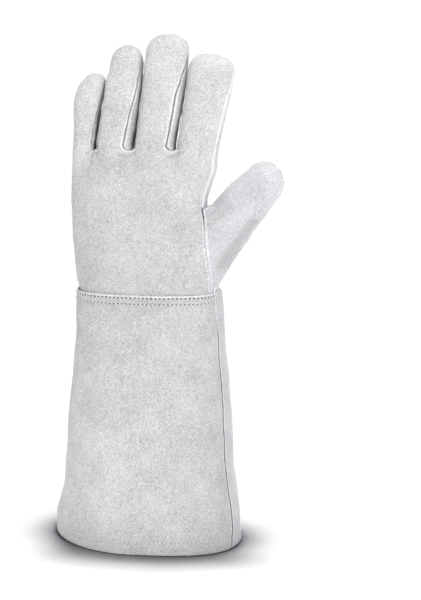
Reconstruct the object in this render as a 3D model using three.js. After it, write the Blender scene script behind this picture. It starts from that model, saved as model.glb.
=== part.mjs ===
// A left-hand welding gauntlet of grey split leather, standing upright on the hem of its cuff.
// Millimetres. +Z runs from the hem to the fingertips, -Y is the back of the hand, +X the thumb side.
// The hand is one closed skin of named panels that meet at the seams. Each panel then gets its wall,
// and is drawn back a little from every seam, so that it is a solid of its own.
import * as THREE from 'three';

// Leather
const WALL = 1.8;
const SEAM_GAP = 0.19;
const PATCH_WALL = 1.3;
const PATCH_LIFT = 0.55;
const WELT_LIFT = 0.3;
const WELT_HEIGHT = 0.9;
const INDEX_WELT_WIDTH = 2.2;
const BASE_WELT_WIDTH = 2;
const WELT_TAPER = 0.72;
const SAME_POINT = 0.001;

// Levels along the glove
const HEM_HEIGHT = 11;
const CUFF_TOP = 202.5;
const CUFF_CORNER_RISE = 4;
const CROTCH = 267.5;
const KNUCKLES = 292;
const BASE_SEAM = 300;
const SLOTS = 316;

// How far the bottom of a slot hangs below its two ends, on the back and on the palm
const SLOT_DIP = { back: 3.6, palm: 10 };

// How boxy an oval is: 0 is an ellipse
const HAND_BOXINESS = 0.04;
const FINGER_BOXINESS = 0.06;

const RAD = Math.PI / 180;

// A table has named columns, and its first column is the place that the others are read at.
function table(columns, rows) {
  const read = {};
  columns.forEach((name, i) => { read[name] = rows.map((row) => row[i]); });
  read.places = read[columns[0]];
  return read;
}

// Reads a column at a place, on a smooth curve through the rows and straight beyond the ends.
function read(source, column, place) {
  const p = source.places;
  const v = source[column];
  const last = p.length - 1;
  const slope = (i) => {
    if (i === 0) return (v[1] - v[0]) / (p[1] - p[0]);
    if (i === last) return (v[last] - v[last - 1]) / (p[last] - p[last - 1]);
    const before = (v[i] - v[i - 1]) / (p[i] - p[i - 1]);
    const after = (v[i + 1] - v[i]) / (p[i + 1] - p[i]);
    return before * after <= 0 ? 0 : (2 * before * after) / (before + after);
  };
  if (place <= p[0]) return v[0] + slope(0) * (place - p[0]);
  if (place >= p[last]) return v[last] + slope(last) * (place - p[last]);
  let i = 0;
  while (place > p[i + 1]) i += 1;
  const span = p[i + 1] - p[i];
  const t = (place - p[i]) / span;
  const a = slope(i) * span;
  const b = slope(i + 1) * span;
  return v[i] + t * (a + t * (3 * (v[i + 1] - v[i]) - 2 * a - b + t * (2 * (v[i] - v[i + 1]) + a + b)));
}

const mix = (a, b, t) => a + (b - a) * t;
const mixPoints = (a, b, t) => a.clone().lerp(b, t);
const clamp01 = (t) => Math.min(1, Math.max(0, t));
const smooth = (t) => clamp01(t) ** 2 * (3 - 2 * clamp01(t));
const steps = (count) => Array.from({ length: count + 1 }, (_, i) => i / count);

// The gauntlet's outline: its left and right sides, and how far its front and rear stand from the middle.
// sweep is how far the relaxed leather of the left side has swung to the rear.
const CUFF = table(['z', 'left', 'right', 'back', 'palm', 'sweep'], [
  [0, -82.0, 75.0, -52, 50, 34],
  [17, -78.4, 73.8, -49.6, 49, 28.5],
  [42, -72.2, 71.6, -46.8, 47, 21],
  [67, -68.4, 69.4, -44.5, 45, 13.5],
  [105, -62.8, 66.8, -42, 42.5, 6],
  [130, -59.8, 65.0, -40.5, 41, 2.4],
  [150, -57.6, 63.7, -39.6, 40, 0.6],
  [166, -56.7, 62.6, -38.9, 39.2, 0],
  [190, -56.2, 61.1, -38, 38, 0],
  [208, -56.0, 60.1, -37.6, 37.6, 0],
]);

// The hand below the fingers. Under the thumb's root the right side is the oval's, not the leather's.
const HAND = table(['z', 'left', 'right', 'back', 'palm'], [
  [190, -53.7, 58.5, -35.5, 35.5],
  [203, -53.6, 57.7, -35.2, 35.2],
  [208, -55.0, 57.8, -35.6, 35.6],
  [213, -55.8, 60.2, -35.2, 35.6],
  [224, -56.4, 61.8, -33.2, 34.4],
  [245, -57.6, 60.5, -29.3, 31.2],
  [257, -58.4, 53.8, -27.0, 29.4],
  [263, -58.8, 50.2, -25.8, 28.2],
  [268, -59.0, 47.8, -24.8, 27.2],
  [274, -59.1, 48.0, -23.6, 26.0],
  [286, -59.0, 52.2, -21.2, 23.4],
  [298, -58.6, 56.0, -18.8, 21.0],
  [316, -57.6, 58.0, -15.8, 17.6],
]);

// Where the thumb's seams run on the hand's oval, in degrees: back and palm meet at the crotch
const THUMB_SEAMS = table(['z', 'back', 'palm'], [
  [190, 155, 246],
  [207, 153, 246],
  [224, 143, 239],
  [245, 140, 237],
  [256, 149, 231],
  [260, 153, 214],
  [263, 156, 197],
  [265.5, 158, 179],
  [267.5, 160, 160],
  [290, 161, 161],
  [316, 165, 165],
]);

const LEFT_SEAM = -20;

// Each finger: its outline by height, its tip, and its seams on its own oval in degrees.
// lean is how far its middle stands towards the palm.
const FINGERS = [
  {
    name: 'little',
    outline: table(['z', 'left', 'right', 'lean', 'depth'], [
      [285, -60.0, -43.5, 0.6, 14.6],
      [316, -57.4, -40.4, 0.8, 14.2],
      [330, -56.6, -38.2, 1.2, 13.2],
      [345, -55.6, -36.2, 2.0, 12.4],
      [357, -53.6, -34.0, 3.0, 11.4],
    ]),
    tip: { from: 357, to: 370.5, x: -41.6, fullness: 2.2 },
    seams: table(['z', 'backLeft', 'backRight', 'palmRight', 'palmLeft'], [
      [316, LEFT_SEAM, 145, 215, 360 + LEFT_SEAM],
      [345, -14, 152, 208, 346],
      [360, -6, 168, 192, 354],
      [366, 0, 180, 180, 360],
      [400, 0, 180, 180, 360],
    ]),
  },
  {
    name: 'ring',
    outline: table(['z', 'left', 'right', 'lean', 'depth'], [
      [285, -43.5, -14.8, 0.6, 15.6],
      [316, -38.9, -10.2, 0.8, 15.2],
      [330, -36.8, -8.2, 1.1, 14.6],
      [354, -32.8, -5.2, 2.0, 13.6],
      [379, -28.9, -3.4, 4.0, 12.2],
    ]),
    tip: { from: 379, to: 392.4, x: -15, fullness: 2.1 },
    seams: table(['z', 'backLeft', 'backRight', 'palmRight', 'palmLeft'], [
      [316, 38, 122, 238, 326],
      [324, 16, 124, 236, 344],
      [354, 12, 140, 220, 348],
      [378, 6, 165, 195, 354],
      [384.4, 0, 180, 180, 360],
      [400, 0, 180, 180, 360],
    ]),
  },
  {
    name: 'middle',
    outline: table(['z', 'left', 'right', 'lean', 'depth'], [
      [285, -13.6, 18.4, 0.6, 16.0],
      [316, -8.4, 23.2, 0.8, 15.6],
      [330, -6.2, 25.6, 1.1, 15.0],
      [354, -2.7, 29.4, 2.0, 14.0],
      [384, -0.6, 33.0, 4.4, 12.4],
    ]),
    tip: { from: 384, to: 400, x: 16.8, fullness: 2.6 },
    seams: table(['z', 'backLeft', 'backRight', 'palmRight', 'palmLeft'], [
      [316, 38, 126, 234, 326],
      [324, 16, 128, 232, 344],
      [350, 12, 128, 232, 348],
      [380, 6, 160, 200, 354],
      [390.4, 0, 180, 180, 360],
      [410, 0, 180, 180, 360],
    ]),
  },
  {
    name: 'index',
    outline: table(['z', 'left', 'right', 'lean', 'depth'], [
      [285, 19.8, 51.6, 0.6, 15.8],
      [316, 24.9, 57.8, 0.8, 15.2],
      [330, 27.4, 60.6, 1.0, 14.8],
      [345, 30.2, 64.0, 1.5, 14.2],
      [362, 32.4, 67.6, 2.6, 13.4],
      [372, 33.2, 69.6, 3.6, 12.6],
    ]),
    tip: { from: 372, to: 386.6, x: 51.6, fullness: 2.6 },
    seams: table(['z', 'backLeft', 'backRight', 'palmRight', 'palmLeft'], [
      [316, 38, 154, 154, 326],
      [324, 20, 153, 153, 342],
      [345, 22, 152, 152, 340],
      [366, 14, 172, 172, 348],
      [377.8, 0, 180, 180, 360],
      [400, 0, 180, 180, 360],
    ]),
  },
];

// The thumb's root, one row for each level of its seams: its outer edge, its middle, and how far its front
// and its palm side stand from that, with the angles of its oval that the seams cut it at.
const THUMB_ROOT = table(
  ['z', 'outerX', 'outerZ', 'middle', 'front', 'frontCut', 'rear', 'rearCut', 'split'],
  [
    [190, 58.5, 190, 0, 35.5, 155, 35.5, 114, 1],
    [203, 57.7, 203, 0, 35.2, 155, 35.2, 114, 1],
    [207, 57.8, 206.4, 0, 34, 153, 35.2, 114, 1],
    [213, 59.8, 209.4, 0.5, 28, 140, 33, 110, 1],
    [224, 64.4, 217, 1, 21.5, 116, 30, 106, 1],
    [236, 69.4, 225, 1.5, 20, 98, 27, 101, 0.86],
    [247, 73.8, 231.8, 2, 19, 82, 23.5, 95, 0.7],
    [256, 77.0, 236.8, 2.5, 18.5, 66, 19.5, 84, 0.6],
    [260, 78.4, 239, 2.7, 18.3, 58, 16.8, 60, 0.57],
    [263, 79.4, 240.6, 2.8, 18, 52, 15.2, 32, 0.55],
    [265.5, 80.2, 241.9, 2.9, 17.5, 48, 14.4, 10, 0.53],
    [267.5, 80.9, 243, 3, 17, 45, 14, 0, 0.52],
  ],
);
const CROTCH_CORNER = { x: 50.2, z: 266.6 };

// The thumb beyond the crotch: its inner and outer edge, its middle, depth, and where its inner seam starts
const THUMB = table(
  ['row', 'innerX', 'innerZ', 'outerX', 'outerZ', 'middle', 'depth', 'seam', 'split'],
  [
    [0, 55, 273.4, 86, 250.6, 3, 14.6, 34, 0.5],
    [1, 63, 281.6, 92, 258.8, 3.2, 14.6, 18, 0.49],
    [2, 71, 289.8, 97.6, 266.6, 3.4, 13.9, 7, 0.48],
    [3, 79, 297.2, 102.4, 274.6, 3.6, 12.8, 0, 0.47],
  ],
);
const THUMB_TIP = { x: 102.6, z: 299.4, fullness: 2.3 };

// The reinforcement's thumb-side edge on the palm, in degrees of the hand's oval
const PATCH_EDGE = table(['z', 'edge'], [
  [206, 247],
  [224, 242],
  [245, 240],
  [257, 236],
  [261, 239],
  [268, 245],
  [276, 247],
  [290, 251],
  [300.6, 253],
]);
const PATCH_FAR_EDGE = 323;

// The cuff's two side seams, in degrees of its oval, and half of the gap that each keeps
const CUFF_SEAMS = { left: -16, right: 160 };
const CUFF_SEAM_GAP = 0.2;

// The raised corner of the cuff's rear half: the angles where it rises, and where it falls again
const CORNER = { rise: [158, 164], fall: [172, 192] };

// Divisions
const LEVELS = [190, 203, 207, 213, 224, 236, 247, 256, 260, 263, 265.5, 267.5, 276, 288, 300, 308];
const FINGER_ROWS = [0, 0.09, 0.22, 0.38, 0.56, 0.74, 0.9, 1];
const TIP_ROWS = [24, 47, 68, 90];
const BACK_COLUMNS = 5;
const PALM_COLUMNS = 4;
const INDEX_PALM_COLUMNS = 6;
const SLOT_COLUMNS = 4;
const WALL_COLUMNS = 2;
const THUMB_BACK_COLUMNS = 6;
const THUMB_FRONT_COLUMNS = 5;
const CUFF_ROWS = [0, 4, HEM_HEIGHT, HEM_HEIGHT + 0.8, 34, 58, 84, 110, 136, 160, 182, CUFF_TOP];
const CUFF_COLUMNS = 18;
const PATCH_ROWS = [205.5, 214, 224, 234, 245, 252, 257, 260, 264, 270, 280, 290, 298.2];
const PATCH_COLUMNS = 9;

// A point of an oval at an angle: 0 is its left side, 90 its front, 180 its right side, 270 its rear.
function ovalPoint(angle, left, right, front, rear, boxiness, z) {
  const a = angle * RAD;
  const across = (Math.cos(a) - boxiness * Math.cos(3 * a)) / (1 - boxiness);
  const along = (Math.sin(a) + boxiness * Math.sin(3 * a)) / (1 - boxiness);
  const x = (left + right) / 2 - ((right - left) / 2) * across;
  return new THREE.Vector3(x, along > 0 ? front * along : -rear * along, z);
}

const columnsOf = (source, z) => ['left', 'right', 'back', 'palm'].map((name) => read(source, name, z));
const handPoint = (angle, z) => ovalPoint(angle, ...columnsOf(HAND, z), HAND_BOXINESS, z);

function cuffPoint(angle, z) {
  const [left, right, back, palm] = columnsOf(CUFF, z);
  const point = ovalPoint(angle, left, right, back, palm, HAND_BOXINESS, z);
  const share = clamp01((left + right - 2 * point.x) / (right - left));
  point.y += read(CUFF, 'sweep', z) * share ** 2;
  return point;
}

// The angle at which the hand's oval, at the level of the slots, has a given x. side is 1 for the back.
function handAngle(x, side) {
  let low = 0;
  let high = 180;
  while (high - low > 1e-9) {
    const angle = (low + high) / 2;
    if (handPoint(angle, SLOTS).x < x) low = angle;
    else high = angle;
  }
  return side > 0 ? low : 360 - low;
}

// A finger is an oval at each height. Past the start of its tip the oval shrinks to a point.
function fingerPoint(finger, angle, z) {
  const { outline, tip } = finger;
  const level = Math.min(z, tip.from);
  const t = clamp01((z - tip.from) / (tip.to - tip.from));
  const size = (1 - t ** tip.fullness) ** (1 / tip.fullness);
  const left = read(outline, 'left', level);
  const right = read(outline, 'right', level);
  const depth = read(outline, 'depth', level) * size;
  const lean = read(outline, 'lean', level) + t * 0.8;
  const middle = mix((left + right) / 2, tip.x, t * t);
  const half = ((right - left) / 2) * size;
  const point = ovalPoint(angle, middle - half, middle + half, -depth, depth, FINGER_BOXINESS, z);
  point.y += lean;
  return point;
}

// The heights of a finger's rows, from the slots to the point of its tip
function fingerLevels(finger) {
  const { from, to } = finger.tip;
  const straight = FINGER_ROWS.map((t) => mix(SLOTS, from, t));
  return [...straight, ...TIP_ROWS.map((angle) => mix(from, to, Math.sin(angle * RAD)))];
}

// The bottom of a slot: a saddle that hangs between the walls of two fingers.
function slotPoint(left, right, across, depth) {
  const from = fingerPoint(left, mix(seamOf(left, 'backRight'), seamOf(left, 'palmRight'), depth), SLOTS);
  const toAngle = mix(seamOf(right, 'backLeft'), seamOf(right, 'palmLeft') - 360, depth);
  const to = fingerPoint(right, toAngle, SLOTS);
  const point = mixPoints(from, to, (1 - Math.cos(across * Math.PI)) / 2);
  point.z -= Math.sin(across * Math.PI) * mix(SLOT_DIP.back, SLOT_DIP.palm, depth);
  return point;
}
const seamOf = (finger, seam, z = SLOTS) => read(finger.seams, seam, z);

// The skin collects faces by panel and shares every point that two faces have in common.
class Skin {
  points = [];
  panels = new Map();
  add(point) {
    const same = this.points.findIndex((other) => other.distanceToSquared(point) < SAME_POINT ** 2);
    if (same >= 0) return same;
    this.points.push(point.clone());
    return this.points.length - 1;
  }
  face(panel, a, b, c) {
    if (a === b || b === c || c === a) return;
    if (!this.panels.has(panel)) this.panels.set(panel, []);
    this.panels.get(panel).push([a, b, c]);
  }
  // Columns run round the glove and rows run up it, so that the faces look outwards.
  sheet(panelAt, columns, rows, pointAt) {
    const grid = rows.map((row, r) => columns.map((column, c) => this.add(pointAt(column, row, c, r))));
    for (let r = 0; r + 1 < rows.length; r += 1) {
      for (let c = 0; c + 1 < columns.length; c += 1) {
        const panel = typeof panelAt === 'string' ? panelAt : panelAt(c, r);
        const [a, b, d, e] = [grid[r][c], grid[r][c + 1], grid[r + 1][c + 1], grid[r + 1][c]];
        const shortAD = this.points[a].distanceTo(this.points[d]) < this.points[b].distanceTo(this.points[e]);
        if (shortAD) {
          this.face(panel, a, b, d);
          this.face(panel, a, d, e);
        } else {
          this.face(panel, a, b, e);
          this.face(panel, b, d, e);
        }
      }
    }
    return grid;
  }
  // The direction in which each point looks out, and how much longer the wall is where faces meet at an angle
  look() {
    const normals = this.points.map(() => new THREE.Vector3());
    const sides = this.points.map(() => []);
    const [ab, ac] = [new THREE.Vector3(), new THREE.Vector3()];
    for (const faces of this.panels.values()) {
      for (const face of faces) {
        face.forEach((at, i) => {
          ab.subVectors(this.points[face[(i + 1) % 3]], this.points[at]);
          ac.subVectors(this.points[face[(i + 2) % 3]], this.points[at]);
          const side = new THREE.Vector3().crossVectors(ab, ac).normalize();
          if (side.lengthSq() === 0) return;
          normals[at].addScaledVector(side, ab.angleTo(ac));
          sides[at].push(side);
        });
      }
    }
    this.normals = normals.map((normal) => normal.normalize());
    this.reach = sides.map((list, i) => {
      const mean = list.reduce((sum, side) => sum + side.dot(this.normals[i]), 0) / list.length;
      return 1 / Math.max(0.9, mean);
    });
  }
}

// The back, the fronts and the sides of the four fingers
function addFingers(skin) {
  FINGERS.forEach((finger, i) => {
    const levels = fingerLevels(finger);
    const between = (from, to, lift = 0) => (t, z) => {
      const angle = mix(seamOf(finger, from, z), seamOf(finger, to, z) - lift, t);
      return fingerPoint(finger, angle, z);
    };
    const isEnd = i === 0 || i === FINGERS.length - 1;
    const palmColumns = i === 3 ? INDEX_PALM_COLUMNS : PALM_COLUMNS;
    const frontPanel = isEnd ? 'palm_panel' : 'two_finger_front';
    skin.sheet('back_panel', steps(BACK_COLUMNS), levels, between('backLeft', 'backRight'));
    skin.sheet(frontPanel, steps(palmColumns), levels, between('palmRight', 'palmLeft'));
    if (i < FINGERS.length - 1) {
      skin.sheet(slotName(i), steps(WALL_COLUMNS), levels, between('backRight', 'palmRight'));
    }
    if (i > 0) {
      const wall = (t, z) => {
        const from = seamOf(finger, 'palmLeft', z) - 360;
        return fingerPoint(finger, mix(from, seamOf(finger, 'backLeft', z), t), z);
      };
      skin.sheet(slotName(i - 1), steps(WALL_COLUMNS), levels, wall);
    }
  });
  for (let i = 0; i + 1 < FINGERS.length; i += 1) {
    const bottom = (across, depth) => slotPoint(FINGERS[i], FINGERS[i + 1], across, depth);
    skin.sheet(slotName(i), steps(SLOT_COLUMNS), steps(WALL_COLUMNS), bottom);
  }
}

const slotName = (i) => `fourchette_${FINGERS[i].name}_${FINGERS[i + 1].name}`;

// The angle of the index finger's outer seam, and below the crotch of the thumb's seam on the back
const outerSeam = (z) => read(THUMB_SEAMS, 'back', z);

// Below the crotch the palm begins at the thumb's seam, so its columns move over towards the little finger.
function turnedPalm(angle, z) {
  if (z >= CROTCH) return angle;
  const end = 360 + LEFT_SEAM;
  const span = end - outerSeam(CROTCH);
  const share = (end - angle) / span;
  const room = (end - read(THUMB_SEAMS, 'palm', z)) / span;
  return end - span * (share - (1 - room) * share ** 1.5);
}

// One strip of the hand under a finger: it follows the hand's oval and turns into the finger's above.
function underFinger(finger, hand, own, turned = (angle) => angle) {
  return (t, z) => {
    const [handFrom, handTo] = hand(z);
    const body = handPoint(turned(mix(handFrom, handTo, t), z), z);
    if (z < KNUCKLES) return body;
    const tube = fingerPoint(finger, mix(own[0], own[1], t), z);
    if (z === SLOTS) return tube;
    return mixPoints(body, tube, smooth((z - KNUCKLES) / (SLOTS - KNUCKLES)));
  };
}

// One strip of the hand under a slot: it sinks to the slot's edge, and meets the strips on its two sides.
function underSlot(edgeAt, hand, before, after, turned = (angle) => angle) {
  const sunk = (t, z) => {
    const edge = edgeAt(t);
    const rise = clamp01((z - KNUCKLES) / (SLOTS - KNUCKLES));
    const level = z > BASE_SEAM ? mix(BASE_SEAM, edge.z, (z - BASE_SEAM) / (SLOTS - BASE_SEAM)) : z;
    const body = handPoint(turned(mix(hand[0], hand[1], t), z), level);
    return new THREE.Vector3(mix(body.x, edge.x, rise ** 4), mix(body.y, edge.y, rise ** 4), level);
  };
  return (t, z) => {
    if (z === SLOTS) return edgeAt(t);
    return sunk(t, z)
      .addScaledVector(before(1, z).sub(sunk(0, z)), (1 - t) ** 2)
      .addScaledVector(after(0, z).sub(sunk(1, z)), t ** 2);
  };
}

// The strips of the hand under each finger, on the back and on the palm
function handStrips() {
  const slotX = (finger, seam) => fingerPoint(finger, seamOf(finger, seam), SLOTS).x;
  return FINGERS.map((finger, i) => {
    const last = i === FINGERS.length - 1;
    const backFrom = i === 0 ? LEFT_SEAM : handAngle(slotX(finger, 'backLeft'), 1);
    const backTo = last ? outerSeam : () => handAngle(slotX(finger, 'backRight'), 1);
    const palmFrom = last
      ? (z) => outerSeam(Math.max(z, CROTCH))
      : () => handAngle(slotX(finger, 'palmRight'), -1);
    const palmTo = i === 0 ? 360 + LEFT_SEAM : handAngle(slotX(finger, 'palmLeft'), -1);
    const ownBack = [seamOf(finger, 'backLeft'), seamOf(finger, 'backRight')];
    const ownPalm = [seamOf(finger, 'palmRight'), seamOf(finger, 'palmLeft')];
    return {
      back: underFinger(finger, (z) => [backFrom, backTo(z)], ownBack),
      palm: underFinger(finger, (z) => [palmFrom(z), palmTo], ownPalm, turnedPalm),
      angles: { backFrom, backTo: backTo(SLOTS), palmFrom: palmFrom(SLOTS), palmTo },
    };
  });
}

// The hand from the wrist to the fingers, without the thumb
function addHand(skin) {
  const rows = [...LEVELS, SLOTS];
  const seamRow = LEVELS.indexOf(BASE_SEAM);
  const strips = handStrips();
  FINGERS.forEach((finger, i) => {
    const last = i === FINGERS.length - 1;
    const strip = strips[i];
    const isMiddle = i > 0 && !last;
    skin.sheet('back_panel', steps(BACK_COLUMNS), rows, strip.back);
    skin.sheet((c, r) => (isMiddle && r >= seamRow ? 'two_finger_front' : 'palm_panel'),
      steps(last ? INDEX_PALM_COLUMNS : PALM_COLUMNS), rows, strip.palm);
    if (last) return;
    const next = strips[i + 1];
    const backEdge = (t) => slotPoint(finger, FINGERS[i + 1], t, 0);
    const palmEdge = (t) => slotPoint(finger, FINGERS[i + 1], 1 - t, 1);
    const slotBack = [strip.angles.backTo, next.angles.backFrom];
    const slotPalm = [next.angles.palmTo, strip.angles.palmFrom];
    skin.sheet('back_panel', steps(SLOT_COLUMNS), rows, underSlot(backEdge, slotBack, strip.back, next.back));
    skin.sheet((c, r) => (i === 1 && r >= seamRow ? 'two_finger_front' : 'palm_panel'),
      steps(SLOT_COLUMNS), rows, underSlot(palmEdge, slotPalm, next.palm, strip.palm, turnedPalm));
  });
}

// The thumb's root at the level of its seams: an oval that its two seams cut open towards the hand.
function thumbRootPoint(u, z) {
  const at = (column) => read(THUMB_ROOT, column, z);
  const outer = new THREE.Vector3(at('outerX'), at('middle'), at('outerZ'));
  const isFront = u <= 0.5;
  const cut = at(isFront ? 'frontCut' : 'rearCut') * RAD;
  const depth = at(isFront ? 'front' : 'rear');
  const t = isFront ? 1 - 2 * u : 2 * u - 1;
  const turn = mix(Math.PI, cut, t);
  const seam = handPoint(isFront ? outerSeam(z) : turnedPalm(outerSeam(CROTCH), z), z);
  const atCrotch = !isFront && z === CROTCH;
  const inner = atCrotch ? new THREE.Vector3(CROTCH_CORNER.x, 0, CROTCH_CORNER.z) : seam;
  const share = (1 + Math.cos(turn)) / (1 + Math.cos(cut));
  const point = mixPoints(outer, inner, share);
  const side = isFront ? -1 : 1;
  point.y = outer.y + side * depth * Math.sin(turn);
  const end = new THREE.Vector3(inner.x, outer.y + side * depth * Math.sin(cut), inner.z);
  return point.addScaledVector(seam.clone().sub(end), t ** 5);
}

// The thumb beyond the crotch: a leaning oval at each row, and past the last row a round tip.
function thumbPoint(u, row, tip) {
  const at = (column) => read(THUMB, column, row);
  const inner = new THREE.Vector3(at('innerX'), at('middle'), at('innerZ'));
  const outer = new THREE.Vector3(at('outerX'), at('middle'), at('outerZ'));
  const size = (1 - tip ** THUMB_TIP.fullness) ** (1 / THUMB_TIP.fullness);
  const middle = mixPoints(inner, outer, 0.5);
  const end = new THREE.Vector3(THUMB_TIP.x, at('middle') + 0.8, THUMB_TIP.z);
  const centre = mixPoints(middle, end, tip);
  const turn = (u % 1) * 2 * Math.PI + at('seam') * RAD;
  const half = outer.sub(inner).multiplyScalar(size / 2);
  centre.addScaledVector(half, -Math.cos(turn));
  centre.y -= at('depth') * size * Math.sin(turn);
  return centre;
}

function addThumb(skin) {
  const backColumns = steps(THUMB_BACK_COLUMNS);
  const frontColumns = steps(THUMB_FRONT_COLUMNS);
  const place = (part, t, split) => (part === 'thumb_back' ? split * t : mix(split, 1, t));
  const rootRows = LEVELS.filter((z) => z <= CROTCH);
  const lastRow = THUMB.places.at(-1);
  const freeRows = [{ z: CROTCH }, ...THUMB.places.map((row) => ({ row, tip: 0 })),
    ...TIP_ROWS.map((angle) => ({ row: lastRow, tip: Math.sin(angle * RAD) }))];
  for (const [part, columns] of [['thumb_back', backColumns], ['thumb_front', frontColumns]]) {
    skin.sheet(part, columns, rootRows, (t, z) => {
      const u = place(part, t, read(THUMB_ROOT, 'split', z));
      return thumbRootPoint(u, z);
    });
    skin.sheet(part, columns, freeRows, (t, { z, row, tip }) => {
      if (z) return thumbRootPoint(place(part, t, read(THUMB_ROOT, 'split', z)), z);
      return thumbPoint(place(part, t, read(THUMB, 'split', row)), row, tip);
    });
  }
}

// Turns one panel of the skin into a closed wall, drawn back from its own edges by the seam gap.
function panelGeometry(skin, name) {
  const faces = skin.panels.get(name);
  const edges = new Map();
  for (const face of faces) {
    face.forEach((from, i) => {
      const to = face[(i + 1) % 3];
      if (!edges.delete(`${to},${from}`)) edges.set(`${from},${to}`, [from, to]);
    });
  }
  const inward = new Map();
  for (const [from, to] of edges.values()) {
    const along = skin.points[to].clone().sub(skin.points[from]).normalize();
    for (const at of [from, to]) {
      const side = new THREE.Vector3().crossVectors(skin.normals[at], along).normalize();
      if (!inward.has(at)) inward.set(at, new THREE.Vector3());
      inward.get(at).add(side);
    }
  }
  const used = new Map();
  const positions = [];
  const place = (at) => {
    if (used.has(at)) return used.get(at);
    const outside = skin.points[at].clone();
    const draw = inward.get(at);
    if (draw) {
      const half = Math.max(0.4, draw.length() / 2);
      outside.addScaledVector(draw.clone().normalize(), SEAM_GAP / half);
    }
    const inside = outside.clone().addScaledVector(skin.normals[at], -WALL * skin.reach[at]);
    positions.push(...outside.toArray(), ...inside.toArray());
    used.set(at, positions.length / 3 - 2);
    return used.get(at);
  };
  const index = [];
  for (const face of faces) {
    const [a, b, c] = face.map(place);
    index.push(a, b, c, a + 1, c + 1, b + 1);
  }
  // The two panels at a seam split its twisted side in the same way.
  for (const edge of edges.values()) {
    const [a, b] = edge.map(place);
    if (edge[0] < edge[1]) index.push(b, a, b + 1, a, a + 1, b + 1);
    else index.push(b, a, a + 1, b, a + 1, b + 1);
  }
  return geometryOf(positions, index);
}

function geometryOf(positions, index) {
  const geometry = new THREE.BufferGeometry();
  geometry.setAttribute('position', new THREE.Float32BufferAttribute(positions, 3));
  geometry.setIndex(index);
  geometry.computeVertexNormals();
  return geometry;
}

// A closed wall between two grids of points with the same rows and columns. The first grid is outside.
function wallGeometry(outside, inside) {
  const rows = outside.length;
  const columns = outside[0].length;
  const positions = [...outside.flat(), ...inside.flat()].flatMap((point) => point.toArray());
  const out = (r, c) => r * columns + c;
  const inn = (r, c) => rows * columns + r * columns + c;
  const index = [];
  const quad = (a, b, c, d) => index.push(a, b, c, a, c, d);
  for (let r = 0; r + 1 < rows; r += 1) {
    for (let c = 0; c + 1 < columns; c += 1) {
      quad(out(r, c), out(r, c + 1), out(r + 1, c + 1), out(r + 1, c));
      quad(inn(r, c), inn(r + 1, c), inn(r + 1, c + 1), inn(r, c + 1));
    }
    quad(out(r, 0), out(r + 1, 0), inn(r + 1, 0), inn(r, 0));
    quad(out(r + 1, columns - 1), out(r, columns - 1), inn(r, columns - 1), inn(r + 1, columns - 1));
  }
  for (let c = 0; c + 1 < columns; c += 1) {
    quad(out(0, c + 1), out(0, c), inn(0, c), inn(0, c + 1));
    quad(out(rows - 1, c), out(rows - 1, c + 1), inn(rows - 1, c + 1), inn(rows - 1, c));
  }
  return geometryOf(positions, index);
}

// The way out of a surface at one point, from its slopes round the glove and up it
function outOf(surface, angle, z) {
  const round = surface(angle + 0.5, z).sub(surface(angle - 0.5, z));
  const up = surface(angle, z + 0.5).sub(surface(angle, z - 0.5));
  return round.cross(up).normalize();
}

// The rear half's top rises to a rounded corner beside the thumb-side seam.
function cornerRise(angle) {
  const share = ([from, to]) => smooth((angle - from) / (to - from));
  return CUFF_CORNER_RISE * share(CORNER.rise) * (1 - share(CORNER.fall));
}

// One half of the cuff between two side seams. The hem is turned in and doubled.
function cuffGeometry(from, to, hasCorner) {
  const outside = [];
  const inside = [];
  for (const z of CUFF_ROWS) {
    const rowOut = [];
    const rowIn = [];
    for (const t of steps(CUFF_COLUMNS)) {
      const angle = mix(from, to, hasCorner ? t ** 1.25 : t);
      const level = z === CUFF_TOP && hasCorner ? z + cornerRise(angle) : z;
      const point = cuffPoint(angle, level);
      const wall = z <= HEM_HEIGHT ? 2 * WALL : WALL;
      const out = outOf(cuffPoint, angle, level).setZ(0).normalize();
      rowOut.push(point);
      rowIn.push(point.clone().addScaledVector(out, -wall));
    }
    outside.push(rowOut);
    inside.push(rowIn);
  }
  return wallGeometry(outside, inside);
}

// The smooth reinforcement that lies on the palm, cut out in a U beside the thumb
function patchGeometry() {
  const grid = (lift) => PATCH_ROWS.map((z) => steps(PATCH_COLUMNS).map((t) => {
    const angle = mix(read(PATCH_EDGE, 'edge', z), PATCH_FAR_EDGE, t);
    return handPoint(angle, z).addScaledVector(outOf(handPoint, angle, z), lift);
  }));
  return wallGeometry(grid(PATCH_LIFT + PATCH_WALL), grid(PATCH_LIFT));
}

// A welt: a narrow strip that stands on a seam, along the skin's own points.
function weltGeometry(skin, seam, width) {
  const points = seam.map((point) => skin.add(point));
  const rings = points.map((at, i) => {
    const before = skin.points[points[Math.max(0, i - 1)]];
    const after = skin.points[points[Math.min(points.length - 1, i + 1)]];
    const along = after.clone().sub(before).normalize();
    const up = skin.normals[at];
    const side = new THREE.Vector3().crossVectors(along, up).normalize();
    const corner = (across, lift) => skin.points[at].clone()
      .addScaledVector(side, (across * width) / 2).addScaledVector(up, WELT_LIFT + lift * WELT_HEIGHT);
    return [corner(-1, 0), corner(1, 0), corner(WELT_TAPER, 1), corner(-WELT_TAPER, 1)];
  });
  const positions = rings.flat().flatMap((point) => point.toArray());
  const index = [];
  const quad = (a, b, c, d) => index.push(a, b, c, a, c, d);
  for (let r = 0; r + 1 < rings.length; r += 1) {
    for (let c = 0; c < 4; c += 1) {
      const [a, b] = [r * 4 + c, r * 4 + ((c + 1) % 4)];
      quad(a, a + 4, b + 4, b);
    }
  }
  const end = (rings.length - 1) * 4;
  quad(0, 1, 2, 3);
  quad(end, end + 3, end + 2, end + 1);
  return geometryOf(positions, index);
}

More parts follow.
